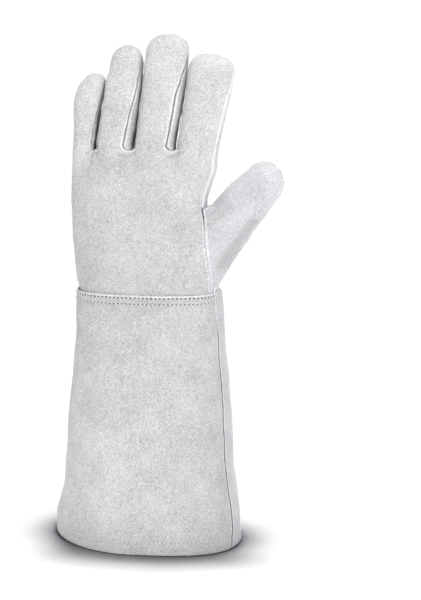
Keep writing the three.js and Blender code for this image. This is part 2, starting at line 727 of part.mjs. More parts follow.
// Leathers: a rough split with a nap for the shell, a smoother one where the hand grips
const SPLIT = { color: '#d4d4d6', roughness: 0.95 };
const FINE_SPLIT = { color: '#dcdce0', roughness: 0.9 };
const GRAIN = { color: '#c9cacd', roughness: 0.7 };
const WELT = { color: '#e2e2e4', roughness: 0.8 };

function addPiece(group, name, geometry, leather) {
  const material = new THREE.MeshStandardMaterial({ ...leather, metalness: 0 });
  const mesh = new THREE.Mesh(geometry, material);
  mesh.name = name;
  group.add(mesh);
}

const skin = new Skin();
addFingers(skin);
addHand(skin);
addThumb(skin);
skin.look();

const glove = new THREE.Group();
const LEATHER_OF = { thumb_back: FINE_SPLIT, thumb_front: GRAIN };
for (const name of skin.panels.keys()) {
  addPiece(glove, name, panelGeometry(skin, name), LEATHER_OF[name] ?? SPLIT);
}
const { left: leftSeam, right: rightSeam } = CUFF_SEAMS;
const cuffFront = cuffGeometry(leftSeam + CUFF_SEAM_GAP, rightSeam - CUFF_SEAM_GAP, false);
const cuffRear = cuffGeometry(rightSeam + CUFF_SEAM_GAP, 360 + leftSeam - CUFF_SEAM_GAP, true);
addPiece(glove, 'cuff_front', cuffFront, SPLIT);
addPiece(glove, 'cuff_rear', cuffRear, FINE_SPLIT);
addPiece(glove, 'palm_patch', patchGeometry(), GRAIN);

// The index finger's outer seam from the crotch to its tip
const strips = handStrips();
const index = FINGERS[3];
const indexSeam = [
  ...LEVELS.filter((z) => z > CROTCH).map((z) => strips[3].back(1, z)),
  ...fingerLevels(index).slice(0, 8).map((z) => fingerPoint(index, seamOf(index, 'backRight', z), z)),
];
addPiece(glove, 'index_welt', weltGeometry(skin, indexSeam, INDEX_WELT_WIDTH), WELT);

// The seam across the palm side of the ring and middle fingers, at the base of the two
const betweenPalms = underSlot((t) => slotPoint(FINGERS[1], FINGERS[2], 1 - t, 1),
  [strips[2].angles.palmTo, strips[1].angles.palmFrom], strips[2].palm, strips[1].palm, turnedPalm);
const baseSeam = [
  ...steps(PALM_COLUMNS).map((t) => strips[2].palm(t, BASE_SEAM)),
  ...steps(SLOT_COLUMNS).slice(1, -1).map((t) => betweenPalms(t, BASE_SEAM)),
  ...steps(PALM_COLUMNS).map((t) => strips[1].palm(t, BASE_SEAM)),
];
addPiece(glove, 'finger_base_welt', weltGeometry(skin, baseSeam, BASE_WELT_WIDTH), WELT);

// The glove stands with the middle of its box at the origin.
const box = new THREE.Box3().setFromObject(glove, true);
const middle = box.getCenter(new THREE.Vector3());
glove.position.set(-middle.x, -middle.y, -box.min.z);

export default glove;
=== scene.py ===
"""A left-hand work gauntlet of light grey split leather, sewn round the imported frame.

The hand is one closed skin of sewn panels, the cuff is two flared halves with a turned-in hem, and a
smooth reinforcement lies on the palm. Each panel is worked out in millimetres on a fine grid of two
parameters, from the same outlines as the solids. +Z is up, -Y is the back of the hand, +X the thumb side.
"""
import math

import bpy
import numpy as np
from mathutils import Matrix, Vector


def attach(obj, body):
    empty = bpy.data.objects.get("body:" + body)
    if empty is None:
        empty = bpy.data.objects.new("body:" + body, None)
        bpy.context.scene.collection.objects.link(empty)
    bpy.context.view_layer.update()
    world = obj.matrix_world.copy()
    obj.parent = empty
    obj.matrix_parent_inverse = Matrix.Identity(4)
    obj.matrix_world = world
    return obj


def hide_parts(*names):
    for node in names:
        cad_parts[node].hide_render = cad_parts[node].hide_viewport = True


bl_info = {
    "name": "Leather Work Gauntlet",
    "version": (1, 0, 0),
    "blender": (4, 5, 0),
    "location": "3D View > Sidebar > Gauntlet",
    "description": "Makes the panels, welts, stitches and studio of a split-leather work gauntlet",
    "category": "Add Mesh",
}

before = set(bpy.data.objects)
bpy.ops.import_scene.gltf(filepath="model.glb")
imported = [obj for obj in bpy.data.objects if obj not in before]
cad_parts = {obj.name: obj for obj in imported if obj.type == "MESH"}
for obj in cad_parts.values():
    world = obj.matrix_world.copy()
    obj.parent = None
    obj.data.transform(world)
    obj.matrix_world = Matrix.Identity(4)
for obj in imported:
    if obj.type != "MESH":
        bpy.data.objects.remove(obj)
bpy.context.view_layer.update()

# The outlines are in the glove's own millimetres, and this moves them to the middle of its box.
SHIFT = np.array([-13.067, -3.098, 0.0])
MM = 0.001

# Levels along the glove, in millimetres above the hem
HEM_HEIGHT = 11.0
CUFF_TOP = 202.5
CROTCH = 267.5
KNUCKLES = 292.0
BASE_SEAM = 300.0
SLOTS = 316.0
# How far a slot's bottom hangs at the back of the hand and at the palm
SLOT_DIP_BACK = 3.6
SLOT_DIP_PALM = 10.0
# How square an oval is: the share of a wave three times as fast in it
HAND_BOXINESS = 0.04
FINGER_BOXINESS = 0.06
# The angle of the hand's seam on the little-finger side
LEFT_SEAM = -20.0
# How far the tip of a finger or of the thumb leans towards the palm
TIP_LEAN = 0.8


def table(columns, rows):
    """Rows of numbers under named columns. The first column is the place that the others are read at."""
    values = np.array(rows, dtype=float)
    made = {name: values[:, i] for i, name in enumerate(columns)}
    made["place"] = values[:, 0]
    return made


def read(source, column, place):
    """A column at any place: a smooth monotone curve through the rows, straight beyond the ends.

    Between two rows it is a cubic. Its slope at a row is the harmonic mean of the slopes on either side
    of it, or none where they differ in sign.
    """
    p, v = source["place"], source[column]
    place = np.asarray(place, dtype=float)
    step = np.diff(v) / np.diff(p)
    slope = np.concatenate([step[:1], np.zeros(len(v) - 2), step[-1:]])
    total = step[:-1] + step[1:]
    rising = step[:-1] * step[1:] > 0
    slope[1:-1] = np.where(rising, 2 * step[:-1] * step[1:] / np.where(rising, total, 1), 0)
    i = np.clip(np.searchsorted(p, place, side="left") - 1, 0, len(p) - 2)
    span = p[i + 1] - p[i]
    t = (place - p[i]) / span
    a, b, rise = slope[i] * span, slope[i + 1] * span, v[i + 1] - v[i]
    inside = v[i] + t * (a + t * (3 * rise - 2 * a - b + t * (a + b - 2 * rise)))
    inside = np.where(place <= p[0], v[0] + slope[0] * (place - p[0]), inside)
    return np.where(place >= p[-1], v[-1] + slope[-1] * (place - p[-1]), inside)


def read_all(source, place, *columns):
    """Several columns at the same place."""
    return [read(source, column, place) for column in columns]


# The gauntlet's sides, front and rear. sweep is how far the relaxed left side has swung to the rear.
CUFF = table(("z", "left", "right", "back", "palm", "sweep"), [
    (0, -82.0, 75.0, -52, 50, 34), (17, -78.4, 73.8, -49.6, 49, 28.5), (42, -72.2, 71.6, -46.8, 47, 21),
    (67, -68.4, 69.4, -44.5, 45, 13.5), (105, -62.8, 66.8, -42, 42.5, 6), (130, -59.8, 65.0, -40.5, 41, 2.4),
    (150, -57.6, 63.7, -39.6, 40, 0.6), (166, -56.7, 62.6, -38.9, 39.2, 0), (190, -56.2, 61.1, -38, 38, 0),
    (208, -56.0, 60.1, -37.6, 37.6, 0),
])

# The hand's sides, front and rear, below the fingers and inside the cuff
HAND = table(("z", "left", "right", "back", "palm"), [
    (190, -53.7, 58.5, -35.5, 35.5), (203, -53.6, 57.7, -35.2, 35.2), (208, -55.0, 57.8, -35.6, 35.6),
    (213, -55.8, 60.2, -35.2, 35.6), (224, -56.4, 61.8, -33.2, 34.4), (245, -57.6, 60.5, -29.3, 31.2),
    (257, -58.4, 53.8, -27.0, 29.4), (263, -58.8, 50.2, -25.8, 28.2), (268, -59.0, 47.8, -24.8, 27.2),
    (274, -59.1, 48.0, -23.6, 26.0), (286, -59.0, 52.2, -21.2, 23.4), (298, -58.6, 56.0, -18.8, 21.0),
    (316, -57.6, 58.0, -15.8, 17.6),
])

# The angles of the thumb's seams on the back of the hand and on the palm
THUMB_SEAMS = table(("z", "back", "palm"), [
    (190, 155, 246), (207, 153, 246), (224, 143, 239), (245, 140, 237), (256, 149, 231), (260, 153, 214),
    (263, 156, 197), (265.5, 158, 179), (267.5, 160, 160), (290, 161, 161), (316, 165, 165),
])

# Each finger's sides, its lean to the palm and half its depth, its tip, and the angles of its seams
OUTLINE = ("z", "left", "right", "lean", "depth")
SEAMS = ("z", "back_left", "back_right", "palm_right", "palm_left")
FINGERS = (
    {
        "name": "little",
        "outline": table(OUTLINE, [
            (285, -60.0, -43.5, 0.6, 14.6), (316, -57.4, -40.4, 0.8, 14.2), (330, -56.6, -38.2, 1.2, 13.2),
            (345, -55.6, -36.2, 2.0, 12.4), (357, -53.6, -34.0, 3.0, 11.4),
        ]),
        "tip": {"start": 357, "end": 370.5, "x": -41.6, "fullness": 2.2},
        "seams": table(SEAMS, [
            (316, LEFT_SEAM, 145, 215, 360 + LEFT_SEAM), (345, -14, 152, 208, 346),
            (360, -6, 168, 192, 354), (366, 0, 180, 180, 360), (400, 0, 180, 180, 360),
        ]),
    },
    {
        "name": "ring",
        "outline": table(OUTLINE, [
            (285, -43.5, -14.8, 0.6, 15.6), (316, -38.9, -10.2, 0.8, 15.2), (330, -36.8, -8.2, 1.1, 14.6),
            (354, -32.8, -5.2, 2.0, 13.6), (379, -28.9, -3.4, 4.0, 12.2),
        ]),
        "tip": {"start": 379, "end": 392.4, "x": -15, "fullness": 2.1},
        "seams": table(SEAMS, [
            (316, 38, 122, 238, 326), (324, 16, 124, 236, 344), (354, 12, 140, 220, 348),
            (378, 6, 165, 195, 354), (384.4, 0, 180, 180, 360), (400, 0, 180, 180, 360),
        ]),
    },
    {
        "name": "middle",
        "outline": table(OUTLINE, [
            (285, -13.6, 18.4, 0.6, 16.0), (316, -8.4, 23.2, 0.8, 15.6), (330, -6.2, 25.6, 1.1, 15.0),
            (354, -2.7, 29.4, 2.0, 14.0), (384, -0.6, 33.0, 4.4, 12.4),
        ]),
        "tip": {"start": 384, "end": 400, "x": 16.8, "fullness": 2.6},
        "seams": table(SEAMS, [
            (316, 38, 126, 234, 326), (324, 16, 128, 232, 344), (350, 12, 128, 232, 348),
            (380, 6, 160, 200, 354), (390.4, 0, 180, 180, 360), (410, 0, 180, 180, 360),
        ]),
    },
    {
        "name": "index",
        "outline": table(OUTLINE, [
            (285, 19.8, 51.6, 0.6, 15.8), (316, 24.9, 57.8, 0.8, 15.2), (330, 27.4, 60.6, 1.0, 14.8),
            (345, 30.2, 64.0, 1.5, 14.2), (362, 32.4, 67.6, 2.6, 13.4), (372, 33.2, 69.6, 3.6, 12.6),
        ]),
        "tip": {"start": 372, "end": 386.6, "x": 51.6, "fullness": 2.6},
        "seams": table(SEAMS, [
            (316, 38, 154, 154, 326), (324, 20, 153, 153, 342), (345, 22, 152, 152, 340),
            (366, 14, 172, 172, 348), (377.8, 0, 180, 180, 360), (400, 0, 180, 180, 360),
        ]),
    },
)

# The thumb's root at each level: its outer edge and middle, how deep its front and rear are and the angles
# where they are cut at the seams, and the share of it that is the back's
THUMB_ROOT = table(("z", "outer_x", "outer_z", "middle", "front", "front_cut", "rear", "rear_cut", "split"), [
    (190, 58.5, 190, 0, 35.5, 155, 35.5, 114, 1), (203, 57.7, 203, 0, 35.2, 155, 35.2, 114, 1),
    (207, 57.8, 206.4, 0, 34, 153, 35.2, 114, 1), (213, 59.8, 209.4, 0.5, 28, 140, 33, 110, 1),
    (224, 64.4, 217, 1, 21.5, 116, 30, 106, 1), (236, 69.4, 225, 1.5, 20, 98, 27, 101, 0.86),
    (247, 73.8, 231.8, 2, 19, 82, 23.5, 95, 0.7), (256, 77.0, 236.8, 2.5, 18.5, 66, 19.5, 84, 0.6),
    (260, 78.4, 239, 2.7, 18.3, 58, 16.8, 60, 0.57), (263, 79.4, 240.6, 2.8, 18, 52, 15.2, 32, 0.55),
    (265.5, 80.2, 241.9, 2.9, 17.5, 48, 14.4, 10, 0.53), (267.5, 80.9, 243, 3, 17, 45, 14, 0, 0.52),
])
CROTCH_CORNER = (50.2, 266.6)
# The free thumb from its root to the start of its tip: both edges, its depth and the angle of its seam
THUMB = table(("row", "inner_x", "inner_z", "outer_x", "outer_z", "middle", "depth", "seam", "split"), [
    (0, 55, 273.4, 86, 250.6, 3, 14.6, 34, 0.5), (1, 63, 281.6, 92, 258.8, 3.2, 14.6, 18, 0.49),
    (2, 71, 289.8, 97.6, 266.6, 3.4, 13.9, 7, 0.48), (3, 79, 297.2, 102.4, 274.6, 3.6, 12.8, 0, 0.47),
])
LAST_ROW = 3.0
THUMB_TIP = {"x": 102.6, "z": 299.4, "fullness": 2.3}

# The palm reinforcement: the angle of its thumb edge at each level, the angle of the other, and its ends
PATCH_EDGE = table(("z", "edge"), [
    (206, 247), (224, 242), (245, 240), (257, 236), (261, 239), (268, 245), (276, 247), (290, 251),
    (300.6, 253),
])
PATCH_FAR_EDGE = 323.0
PATCH_LEVELS = (205.5, 298.2)
# The angles of the cuff's two seams, and where the rear half's top rises to a corner and falls again
CUFF_SEAMS = (-16.0, 160.0)
CUFF_CORNER_RISE = 4.0
CORNER_RISES, CORNER_FALLS = (158.0, 164.0), (172.0, 192.0)


def mix(a, b, t):
    """Part of the way from a to b: a, plus t times what b is past it."""
    return a + (b - a) * t


def smooth(t):
    """0 to 1 with no slope at either end: three squares of t less two cubes."""
    t = np.clip(t, 0, 1)
    return t * t * (3 - 2 * t)


def unit(vectors):
    """Each vector divided by its length. One with no length stays as it is."""
    length = np.linalg.norm(vectors, axis=-1, keepdims=True)
    return vectors / np.where(length > 0, length, 1)


def points_of(x, y, z):
    """Points from three coordinates, each a number or an array."""
    return np.stack(np.broadcast_arrays(x, y, z), axis=-1).astype(float)


def oval(angle, left, right, front, rear, boxiness, z):
    """A point of an oval: 0 degrees is its left side, 90 its front, 180 its right side, 270 its rear.

    Across it goes as a cosine less the boxiness times the cosine of three times the angle, and front to
    rear as a sine plus the same share of that sine.
    """
    a = np.radians(angle)
    across = (np.cos(a) - boxiness * np.cos(3 * a)) / (1 - boxiness)
    along = (np.sin(a) + boxiness * np.sin(3 * a)) / (1 - boxiness)
    x = (left + right) / 2 - (right - left) / 2 * across
    return points_of(x, np.where(along > 0, front * along, -rear * along), z)


def cuff_point(angle, z):
    """The cuff's face: an oval whose left half is swept to the rear by the square of its way to the left."""
    left, right, back, palm, sweep = read_all(CUFF, z, "left", "right", "back", "palm", "sweep")
    point = oval(angle, left, right, back, palm, HAND_BOXINESS, z)
    share = np.clip((left + right - 2 * point[..., 0]) / (right - left), 0, 1)
    point[..., 1] += sweep * share ** 2
    return point


def hand_point(angle, z):
    """The hand's face below the fingers: an oval at each height."""
    return oval(angle, *read_all(HAND, z, "left", "right", "back", "palm"), HAND_BOXINESS, z)


# Half of the way, in degrees and in mm, over which a surface's slope is taken
SLOPE_STEP = 0.5


def way_out(surface, angle, z):
    """Out of a surface: across its slope round the glove and its slope up it."""
    around = surface(angle + SLOPE_STEP, z) - surface(angle - SLOPE_STEP, z)
    up = surface(angle, z + SLOPE_STEP) - surface(angle, z - SLOPE_STEP)
    return unit(np.cross(around, up))


# How closely an angle is found, in degrees
ANGLE_ERROR = 1e-9


def hand_angle(x, back):
    """The angle at which the hand's oval, at the level of the slots, has a given x, by halving."""
    low, high = 0.0, 180.0
    while high - low > ANGLE_ERROR:
        angle = (low + high) / 2
        if hand_point(angle, SLOTS)[0] < x:
            low = angle
        else:
            high = angle
    return low if back else 360 - low


def finger_point(finger, angle, z):
    """A finger is an oval at each height. Past the start of its tip the oval shrinks to a point.

    Its size there is 1 less t to a power, to one over that power, with t the way up the tip and the
    fullness as the power.
    """
    outline, tip = finger["outline"], finger["tip"]
    level = np.minimum(z, tip["start"])
    t = np.clip((z - tip["start"]) / (tip["end"] - tip["start"]), 0, 1)
    size = np.maximum(1 - t ** tip["fullness"], 0) ** (1 / tip["fullness"])
    left, right, lean, depth = read_all(outline, level, "left", "right", "lean", "depth")
    depth = depth * size
    centre = mix((left + right) / 2, tip["x"], t * t)
    half = (right - left) / 2 * size
    point = oval(angle, centre - half, centre + half, -depth, depth, FINGER_BOXINESS, z)
    point[..., 1] += lean + t * TIP_LEAN
    return point


def seam_of(finger, seam, z=SLOTS):
    """The angle of a finger's seam at a height."""
    return read(finger["seams"], seam, z)


def slot_point(left, right, across, depth):
    """The bottom of a slot: a saddle that hangs between the walls of two fingers.

    Its way across goes as half a cosine, and it hangs by a sine times the dip.
    """
    from_angle = mix(seam_of(left, "back_right"), seam_of(left, "palm_right"), depth)
    to_angle = mix(seam_of(right, "back_left"), seam_of(right, "palm_left") - 360, depth)
    start, end = finger_point(left, from_angle, SLOTS), finger_point(right, to_angle, SLOTS)
    point = mix(start, end, ((1 - np.cos(across * np.pi)) / 2)[..., None])
    point[..., 2] -= np.sin(across * np.pi) * mix(SLOT_DIP_BACK, SLOT_DIP_PALM, depth)
    return point


def outer_seam(z):
    """The angle of the thumb's seam on the back of the hand, and above it the index finger's outer seam."""
    return read(THUMB_SEAMS, "back", z)


# How the palm's columns give way to the thumb: by this power of their way from the far side
TURN_POWER = 1.5


def turned_palm(angle, z):
    """Below the crotch the palm begins at the thumb's seam, so its columns move over to the far side.

    A column gives up a share of the room the thumb takes, by a power of its way from the far side.
    """
    end = 360 + LEFT_SEAM
    span = end - outer_seam(CROTCH)
    share = np.clip((end - angle) / span, 0, None)
    room = (end - read(THUMB_SEAMS, "palm", z)) / span
    turned = end - span * (share - (1 - room) * share ** TURN_POWER)
    return np.where(z >= CROTCH, angle, turned)


def under_finger(finger, hand, own, turned=None):
    """A strip of the hand under a finger: it follows the hand's oval and turns into the finger's.

    It is a mix of the two that goes softly from 0 at the knuckles to 1 at the slots.
    """
    def strip(t, z):
        start, end = hand(z)
        angle = mix(start, end, t)
        body = hand_point(turned(angle, z) if turned else angle, z)
        tube = finger_point(finger, mix(own[0], own[1], t), z)
        rise = smooth((z - KNUCKLES) / (SLOTS - KNUCKLES))[..., None]
        return mix(body, tube, rise)
    return strip


# How late a strip sinks to a slot's edge, as a power of its way up
SINK_POWER = 4


def under_slot(edge_at, hand, before, after, turned=None):
    """A strip of the hand under a slot: it sinks to the slot's edge and meets the strips beside it.

    What is missing to the strips on either side is added by the square of the way across to each.
    """
    def sunk(t, z):
        edge = edge_at(t)
        rise = np.clip((z - KNUCKLES) / (SLOTS - KNUCKLES), 0, 1)
        over = (z - BASE_SEAM) / (SLOTS - BASE_SEAM)
        level = np.where(z > BASE_SEAM, mix(BASE_SEAM, edge[..., 2], over), z)
        angle = mix(hand[0], hand[1], t)
        body = hand_point(turned(angle, z) if turned else angle, level)
        flat = mix(body, edge, rise[..., None] ** SINK_POWER)
        flat[..., 2] = level
        return flat

    def strip(t, z):
        zero, one = np.zeros_like(t), np.ones_like(t)
        left = (before(one, z) - sunk(zero, z)) * ((1 - t) ** 2)[..., None]
        right = (after(zero, z) - sunk(one, z)) * (t ** 2)[..., None]
        met = sunk(t, z) + left + right
        return np.where((z >= SLOTS)[..., None], edge_at(t), met)
    return strip


def hand_strips():
    """For each finger, the strips of the hand below it on the back and on the palm, and their angles."""
    strips = []
    for i, finger in enumerate(FINGERS):
        last = i == len(FINGERS) - 1

        def at(seam, back, finger=finger):
            return hand_angle(finger_point(finger, seam_of(finger, seam), SLOTS)[0], back)

        back_from = LEFT_SEAM if i == 0 else at("back_left", True)
        palm_to = 360 + LEFT_SEAM if i == 0 else at("palm_left", False)
        back_to = None if last else at("back_right", True)
        palm_from = None if last else at("palm_right", False)

        def back(z, start=back_from, end=back_to):
            return start, outer_seam(z) if end is None else end

        def palm(z, start=palm_from, end=palm_to):
            return outer_seam(np.maximum(z, CROTCH)) if start is None else start, end

        own_back = (seam_of(finger, "back_left"), seam_of(finger, "back_right"))
        own_palm = (seam_of(finger, "palm_right"), seam_of(finger, "palm_left"))
        strips.append({
            "back": under_finger(finger, back, own_back),
            "palm": under_finger(finger, palm, own_palm, turned_palm),
            "back_from": back_from, "back_to": back_to, "palm_from": palm_from, "palm_to": palm_to,
        })
    return strips


STRIPS = hand_strips()


def slot_strip(i, back):
    """The strip of the hand under the slot after finger i, on the back or on the palm."""
    left, right = FINGERS[i], FINGERS[i + 1]
    one, two = STRIPS[i], STRIPS[i + 1]
    if back:
        return under_slot(lambda t: slot_point(left, right, t, 0.0), (one["back_to"], two["back_from"]),
                          one["back"], two["back"])
    return under_slot(lambda t: slot_point(left, right, 1 - t, 1.0), (two["palm_to"], one["palm_from"]),
                      two["palm"], one["palm"], turned_palm)


# How close to its seam the thumb's root is pulled over to it, as a power of the way there
PULL_POWER = 5


def thumb_root_point(u, z):
    """The thumb's root at the level of its seams: an oval that its seams cut open towards the hand.

    Across it goes as a cosine and front to rear as a sine, from the outer edge at u of a half to each cut.
    """
    front_side = u <= 0.5
    outer = points_of(*read_all(THUMB_ROOT, z, "outer_x", "middle", "outer_z"))
    cut = np.radians(np.where(front_side, *read_all(THUMB_ROOT, z, "front_cut", "rear_cut")))
    depth = np.where(front_side, *read_all(THUMB_ROOT, z, "front", "rear"))
    t = np.where(front_side, 1 - 2 * u, 2 * u - 1)
    turn = mix(np.pi, cut, t)
    rear_angle = turned_palm(outer_seam(CROTCH), z)
    seam = hand_point(np.where(front_side, outer_seam(z), rear_angle), z)
    at_crotch = (~front_side & (z >= CROTCH))[..., None]
    inner = np.where(at_crotch, np.array([CROTCH_CORNER[0], 0, CROTCH_CORNER[1]]), seam)
    share = ((1 + np.cos(turn)) / (1 + np.cos(cut)))[..., None]
    point = mix(outer, inner, share)
    side = np.where(front_side, -1.0, 1.0)
    point[..., 1] = outer[..., 1] + side * depth * np.sin(turn)
    end = points_of(inner[..., 0], outer[..., 1] + side * depth * np.sin(cut), inner[..., 2])
    return point + (seam - end) * (t ** PULL_POWER)[..., None]


def thumb_point(u, row, tip):
    """The thumb beyond the crotch: a leaning oval at each row, and past the last row a round tip.

    The tip's size follows the same power of its way up as a finger's does.
    """
    middle_y = read(THUMB, "middle", row)
    inner = points_of(*read_all(THUMB, row, "inner_x", "middle", "inner_z"))
    outer = points_of(*read_all(THUMB, row, "outer_x", "middle", "outer_z"))
    size = np.maximum(1 - tip ** THUMB_TIP["fullness"], 0) ** (1 / THUMB_TIP["fullness"])
    end = points_of(THUMB_TIP["x"], middle_y + TIP_LEAN, THUMB_TIP["z"])
    centre = mix((inner + outer) / 2, end, tip[..., None])
    turn = (u % 1) * 2 * np.pi + np.radians(read(THUMB, "seam", row))
    point = centre - (outer - inner) / 2 * (size * np.cos(turn))[..., None]
    point[..., 1] -= read(THUMB, "depth", row) * size * np.sin(turn)
    return point


# How much of a half cosine there is in the columns' spacing
CROWDING = 0.55


def crowded(count):
    """From 0 to 1, closer together at the two ends, where the leather rolls in at its seams.

    It is a mix of even steps and half a cosine.
    """
    t = np.linspace(0, 1, count + 1)
    return mix(t, (1 - np.cos(np.pi * t)) / 2, CROWDING)


def levels(*marks, step=0.95):
    """Heights through the given marks, about a step apart."""
    parts = [np.linspace(a, b, max(1, round((b - a) / step)) + 1)[:-1] for a, b in zip(marks, marks[1:])]
    return np.concatenate([*parts, [marks[-1]]])


# How finely the panels are drawn: their levels, from inside the cuff to the slots, and their columns
HAND_LEVELS = levels(190, 203, 256, CROTCH, BASE_SEAM, SLOTS)
TIP_TURNS = np.radians(np.linspace(0, 90, 17)[1:])
BACK_COLUMNS = crowded(34)
SLOT_COLUMNS = crowded(10)
WALL_COLUMNS = crowded(18)
THUMB_COLUMNS = crowded(44)


def finger_levels(finger):
    """A finger's levels: even up to its tip, and over the tip by the sine, so that it closes round."""
    start, end = finger["tip"]["start"], finger["tip"]["end"]
    return np.concatenate([levels(SLOTS, start, step=1.0), mix(start, end, np.sin(TIP_TURNS))])


# How far below the point where its two seams meet a side strip ends, in mm
STRIP_END = 2.0
# Points this close, in mm, are one point
SAME_PLACE = 0.01
# How many points are measured at once
BLOCK = 4000


def sheet(columns, rows, surface):
    """A surface of two parameters on a grid. Columns run round the glove and rows run up it."""
    z, t = np.meshgrid(rows, columns, indexing="ij")
    return surface(t, z)


def finger_sheet(finger, start, end, columns, lift_start=0.0):
    """The part of a finger from one seam to another. A side strip ends where its two seams meet."""
    def surface(t, z):
        angle = mix(seam_of(finger, start, z) + lift_start, seam_of(finger, end, z), t)
        return finger_point(finger, angle, z)
    rows = finger_levels(finger)
    if "palm" in start + end and "back" in start + end:
        rows = rows[rows < finger["seams"]["place"][-2] - STRIP_END]
    return sheet(columns, rows, surface)


class Leather:
    """One panel as points and faces, joined from the grids that make it up, in millimetres."""

    def __init__(self, sheets):
        """Joins the grids where they share points. A face with two points in one place is a triangle."""
        faces, start = [], 0
        for grid in sheets:
            rows, columns = grid.shape[:2]
            number = np.arange(rows * columns).reshape(rows, columns) + start
            corners = (number[:-1, :-1], number[:-1, 1:], number[1:, 1:], number[1:, :-1])
            faces.append(np.stack(corners, axis=-1).reshape(-1, 4))
            start += rows * columns
        points = np.concatenate([grid.reshape(-1, 3) for grid in sheets])
        places = np.round(points / SAME_PLACE)
        _, first, same = np.unique(places, axis=0, return_index=True, return_inverse=True)
        self.points = points[first]
        quads = same.reshape(-1)[np.concatenate(faces)]
        ahead = np.roll(quads, -1, axis=1)
        doubled = quads == ahead
        self.quads = quads[doubled.sum(axis=1) == 0]
        pinched = quads[doubled.sum(axis=1) == 1]
        at = np.argmax(doubled[doubled.sum(axis=1) == 1], axis=1)
        order = (at[:, None] + np.array([1, 2, 3])) % 4
        self.triangles = np.take_along_axis(pinched, order, axis=1)

    def edges(self):
        """Each side of each face, as the numbers of its two points."""
        return np.concatenate([np.stack([faces, np.roll(faces, -1, axis=1)], axis=-1).reshape(-1, 2)
                               for faces in (self.quads, self.triangles)])

    def rim(self):
        """The points on the panel's own edges: those of face sides that no second face shares."""
        pairs = np.sort(self.edges(), axis=1)
        unique, count = np.unique(pairs, axis=0, return_counts=True)
        return np.unique(unique[count == 1])

    def normals(self):
        """Out of the leather: the sum of the sides of the faces round each point."""
        total = np.zeros_like(self.points)
        for faces in (self.quads, self.triangles):
            a, b, c = (self.points[faces[:, k]] for k in (0, 1, 2))
            d = self.points[faces[:, -1]]
            side = np.cross(c - a, d - b) if faces.shape[1] == 4 else np.cross(b - a, c - a)
            for k in range(faces.shape[1]):
                for axis in range(3):
                    total[:, axis] += np.bincount(faces[:, k], side[:, axis], minlength=len(total))
        return unit(total)

    def relax(self, rounds, share=0.5):
        """Moves each inner point a share of the way to the mean of its neighbours, some rounds over."""
        pairs = self.edges()
        both = np.concatenate([pairs, pairs[:, ::-1]])
        count = np.maximum(np.bincount(both[:, 0], minlength=len(self.points)), 1)
        free = np.full(len(self.points), share)
        free[self.rim()] = 0
        for _ in range(rounds):
            middle = np.stack([np.bincount(both[:, 0], self.points[both[:, 1], k], minlength=len(self.points))
                               for k in range(3)], axis=-1) / count[:, None]
            self.points += (middle - self.points) * free[:, None]


def distance_to(points, marks):
    """How far each point is from the nearest of the marks, worked out in blocks.

    The square of it is the square of both, less twice their product.
    """
    nearest = np.empty(len(points))
    marks = marks.astype(np.float32)
    for start in range(0, len(points), BLOCK):
        block = points[start:start + BLOCK].astype(np.float32)
        apart = (block ** 2).sum(1)[:, None] + (marks ** 2).sum(1) - 2 * block @ marks.T
        nearest[start:start + BLOCK] = np.sqrt(np.maximum(apart.min(axis=1), 0))
    return nearest


# The leather's own swells: how high each is, its length in mm, and the seed of its random draws
HAND_SWELLS = ((0.42, 62, 11), (0.2, 24, 12), (0.05, 7.5, 13))
CUFF_SWELLS = ((0.55, 85, 31), (0.25, 30, 32), (0.05, 8, 33))
WAVES = 14


def ripple(points, wavelength, seed):
    """A soft random swell: sines of about one length in many directions, added up.

    The sum is divided by the root of half their number, so that it is 1 high on the whole.
    """
    random = np.random.default_rng(seed)
    ways = unit(random.normal(size=(WAVES, 3)))
    lengths = wavelength * random.uniform(0.75, 1.4, WAVES)
    phases = random.uniform(0, 2 * np.pi, WAVES)
    waves = np.sin(points @ (ways / lengths[:, None]).T * 2 * np.pi + phases)
    return waves.sum(axis=-1) / math.sqrt(WAVES / 2)


def swell_of(points, swells):
    """Several ripples added up, each times its height."""
    return sum(height * ripple(points, length, seed) for height, length, seed in swells)


def bell(away, width):
    """1 at no distance, falling as a bell: e to the minus square of the distance over the width."""
    return np.exp(-((away / width) ** 2))


def rounded(away, width):
    """1 at an edge, falling to 0 at a width from it as a quarter circle does."""
    return 1 - np.sqrt(1 - np.clip(1 - away / width, 0, 1) ** 2)


# Folds: their run in x and z, how deep and how wide they are, and whether they lie on the palm
FOLDS = (
    ("thumb dent", ((84.6, 254.4), (77.6, 244.6), (71.2, 234.9), (64.4, 224.5)), 3.4, 5.4, False),
    ("crotch wrinkle", ((50.5, 262.0), (56.0, 267.0), (60.0, 272.0)), 1.1, 2.2, False),
    ("crotch second wrinkle", ((51.0, 256.0), (58.0, 262.0), (64.0, 269.0)), 0.9, 2.4, False),
    ("crotch hand wrinkle", ((47.0, 262.0), (44.5, 268.0), (43.5, 275.0)), 0.8, 2.4, False),
    ("ring slot crease", ((-17.5, 309.5), (-12.0, 308.6), (-7.5, 310.5)), 1.5, 1.5, False),
    ("middle slot crease", ((20.0, 308.5), (24.0, 308.6), (28.0, 311.0)), 1.4, 1.5, False),
    ("little slot crease", ((-43.0, 310.0), (-39.5, 309.5), (-36.0, 310.5)), 0.7, 1.6, False),
    ("thumb tip dent", ((93.0, 284.0), (94.5, 277.0), (94.0, 269.0)), 1.1, 3.6, True),
    ("thumb palm fold", ((60.0, 262.0), (68.0, 262.0), (77.0, 257.0)), 0.8, 3.0, True),
    ("index base dent", ((37.0, 309.0), (44.0, 303.0), (49.0, 293.0)), 1.4, 4.5, True),
    ("ring base gather", ((-29.0, 304.5), (-22.0, 303.6), (-14.5, 304.5)), 0.7, 1.8, True),
    ("middle base gather", ((1.0, 304.5), (8.0, 303.4), (15.0, 304.6)), 0.7, 1.8, True),
)


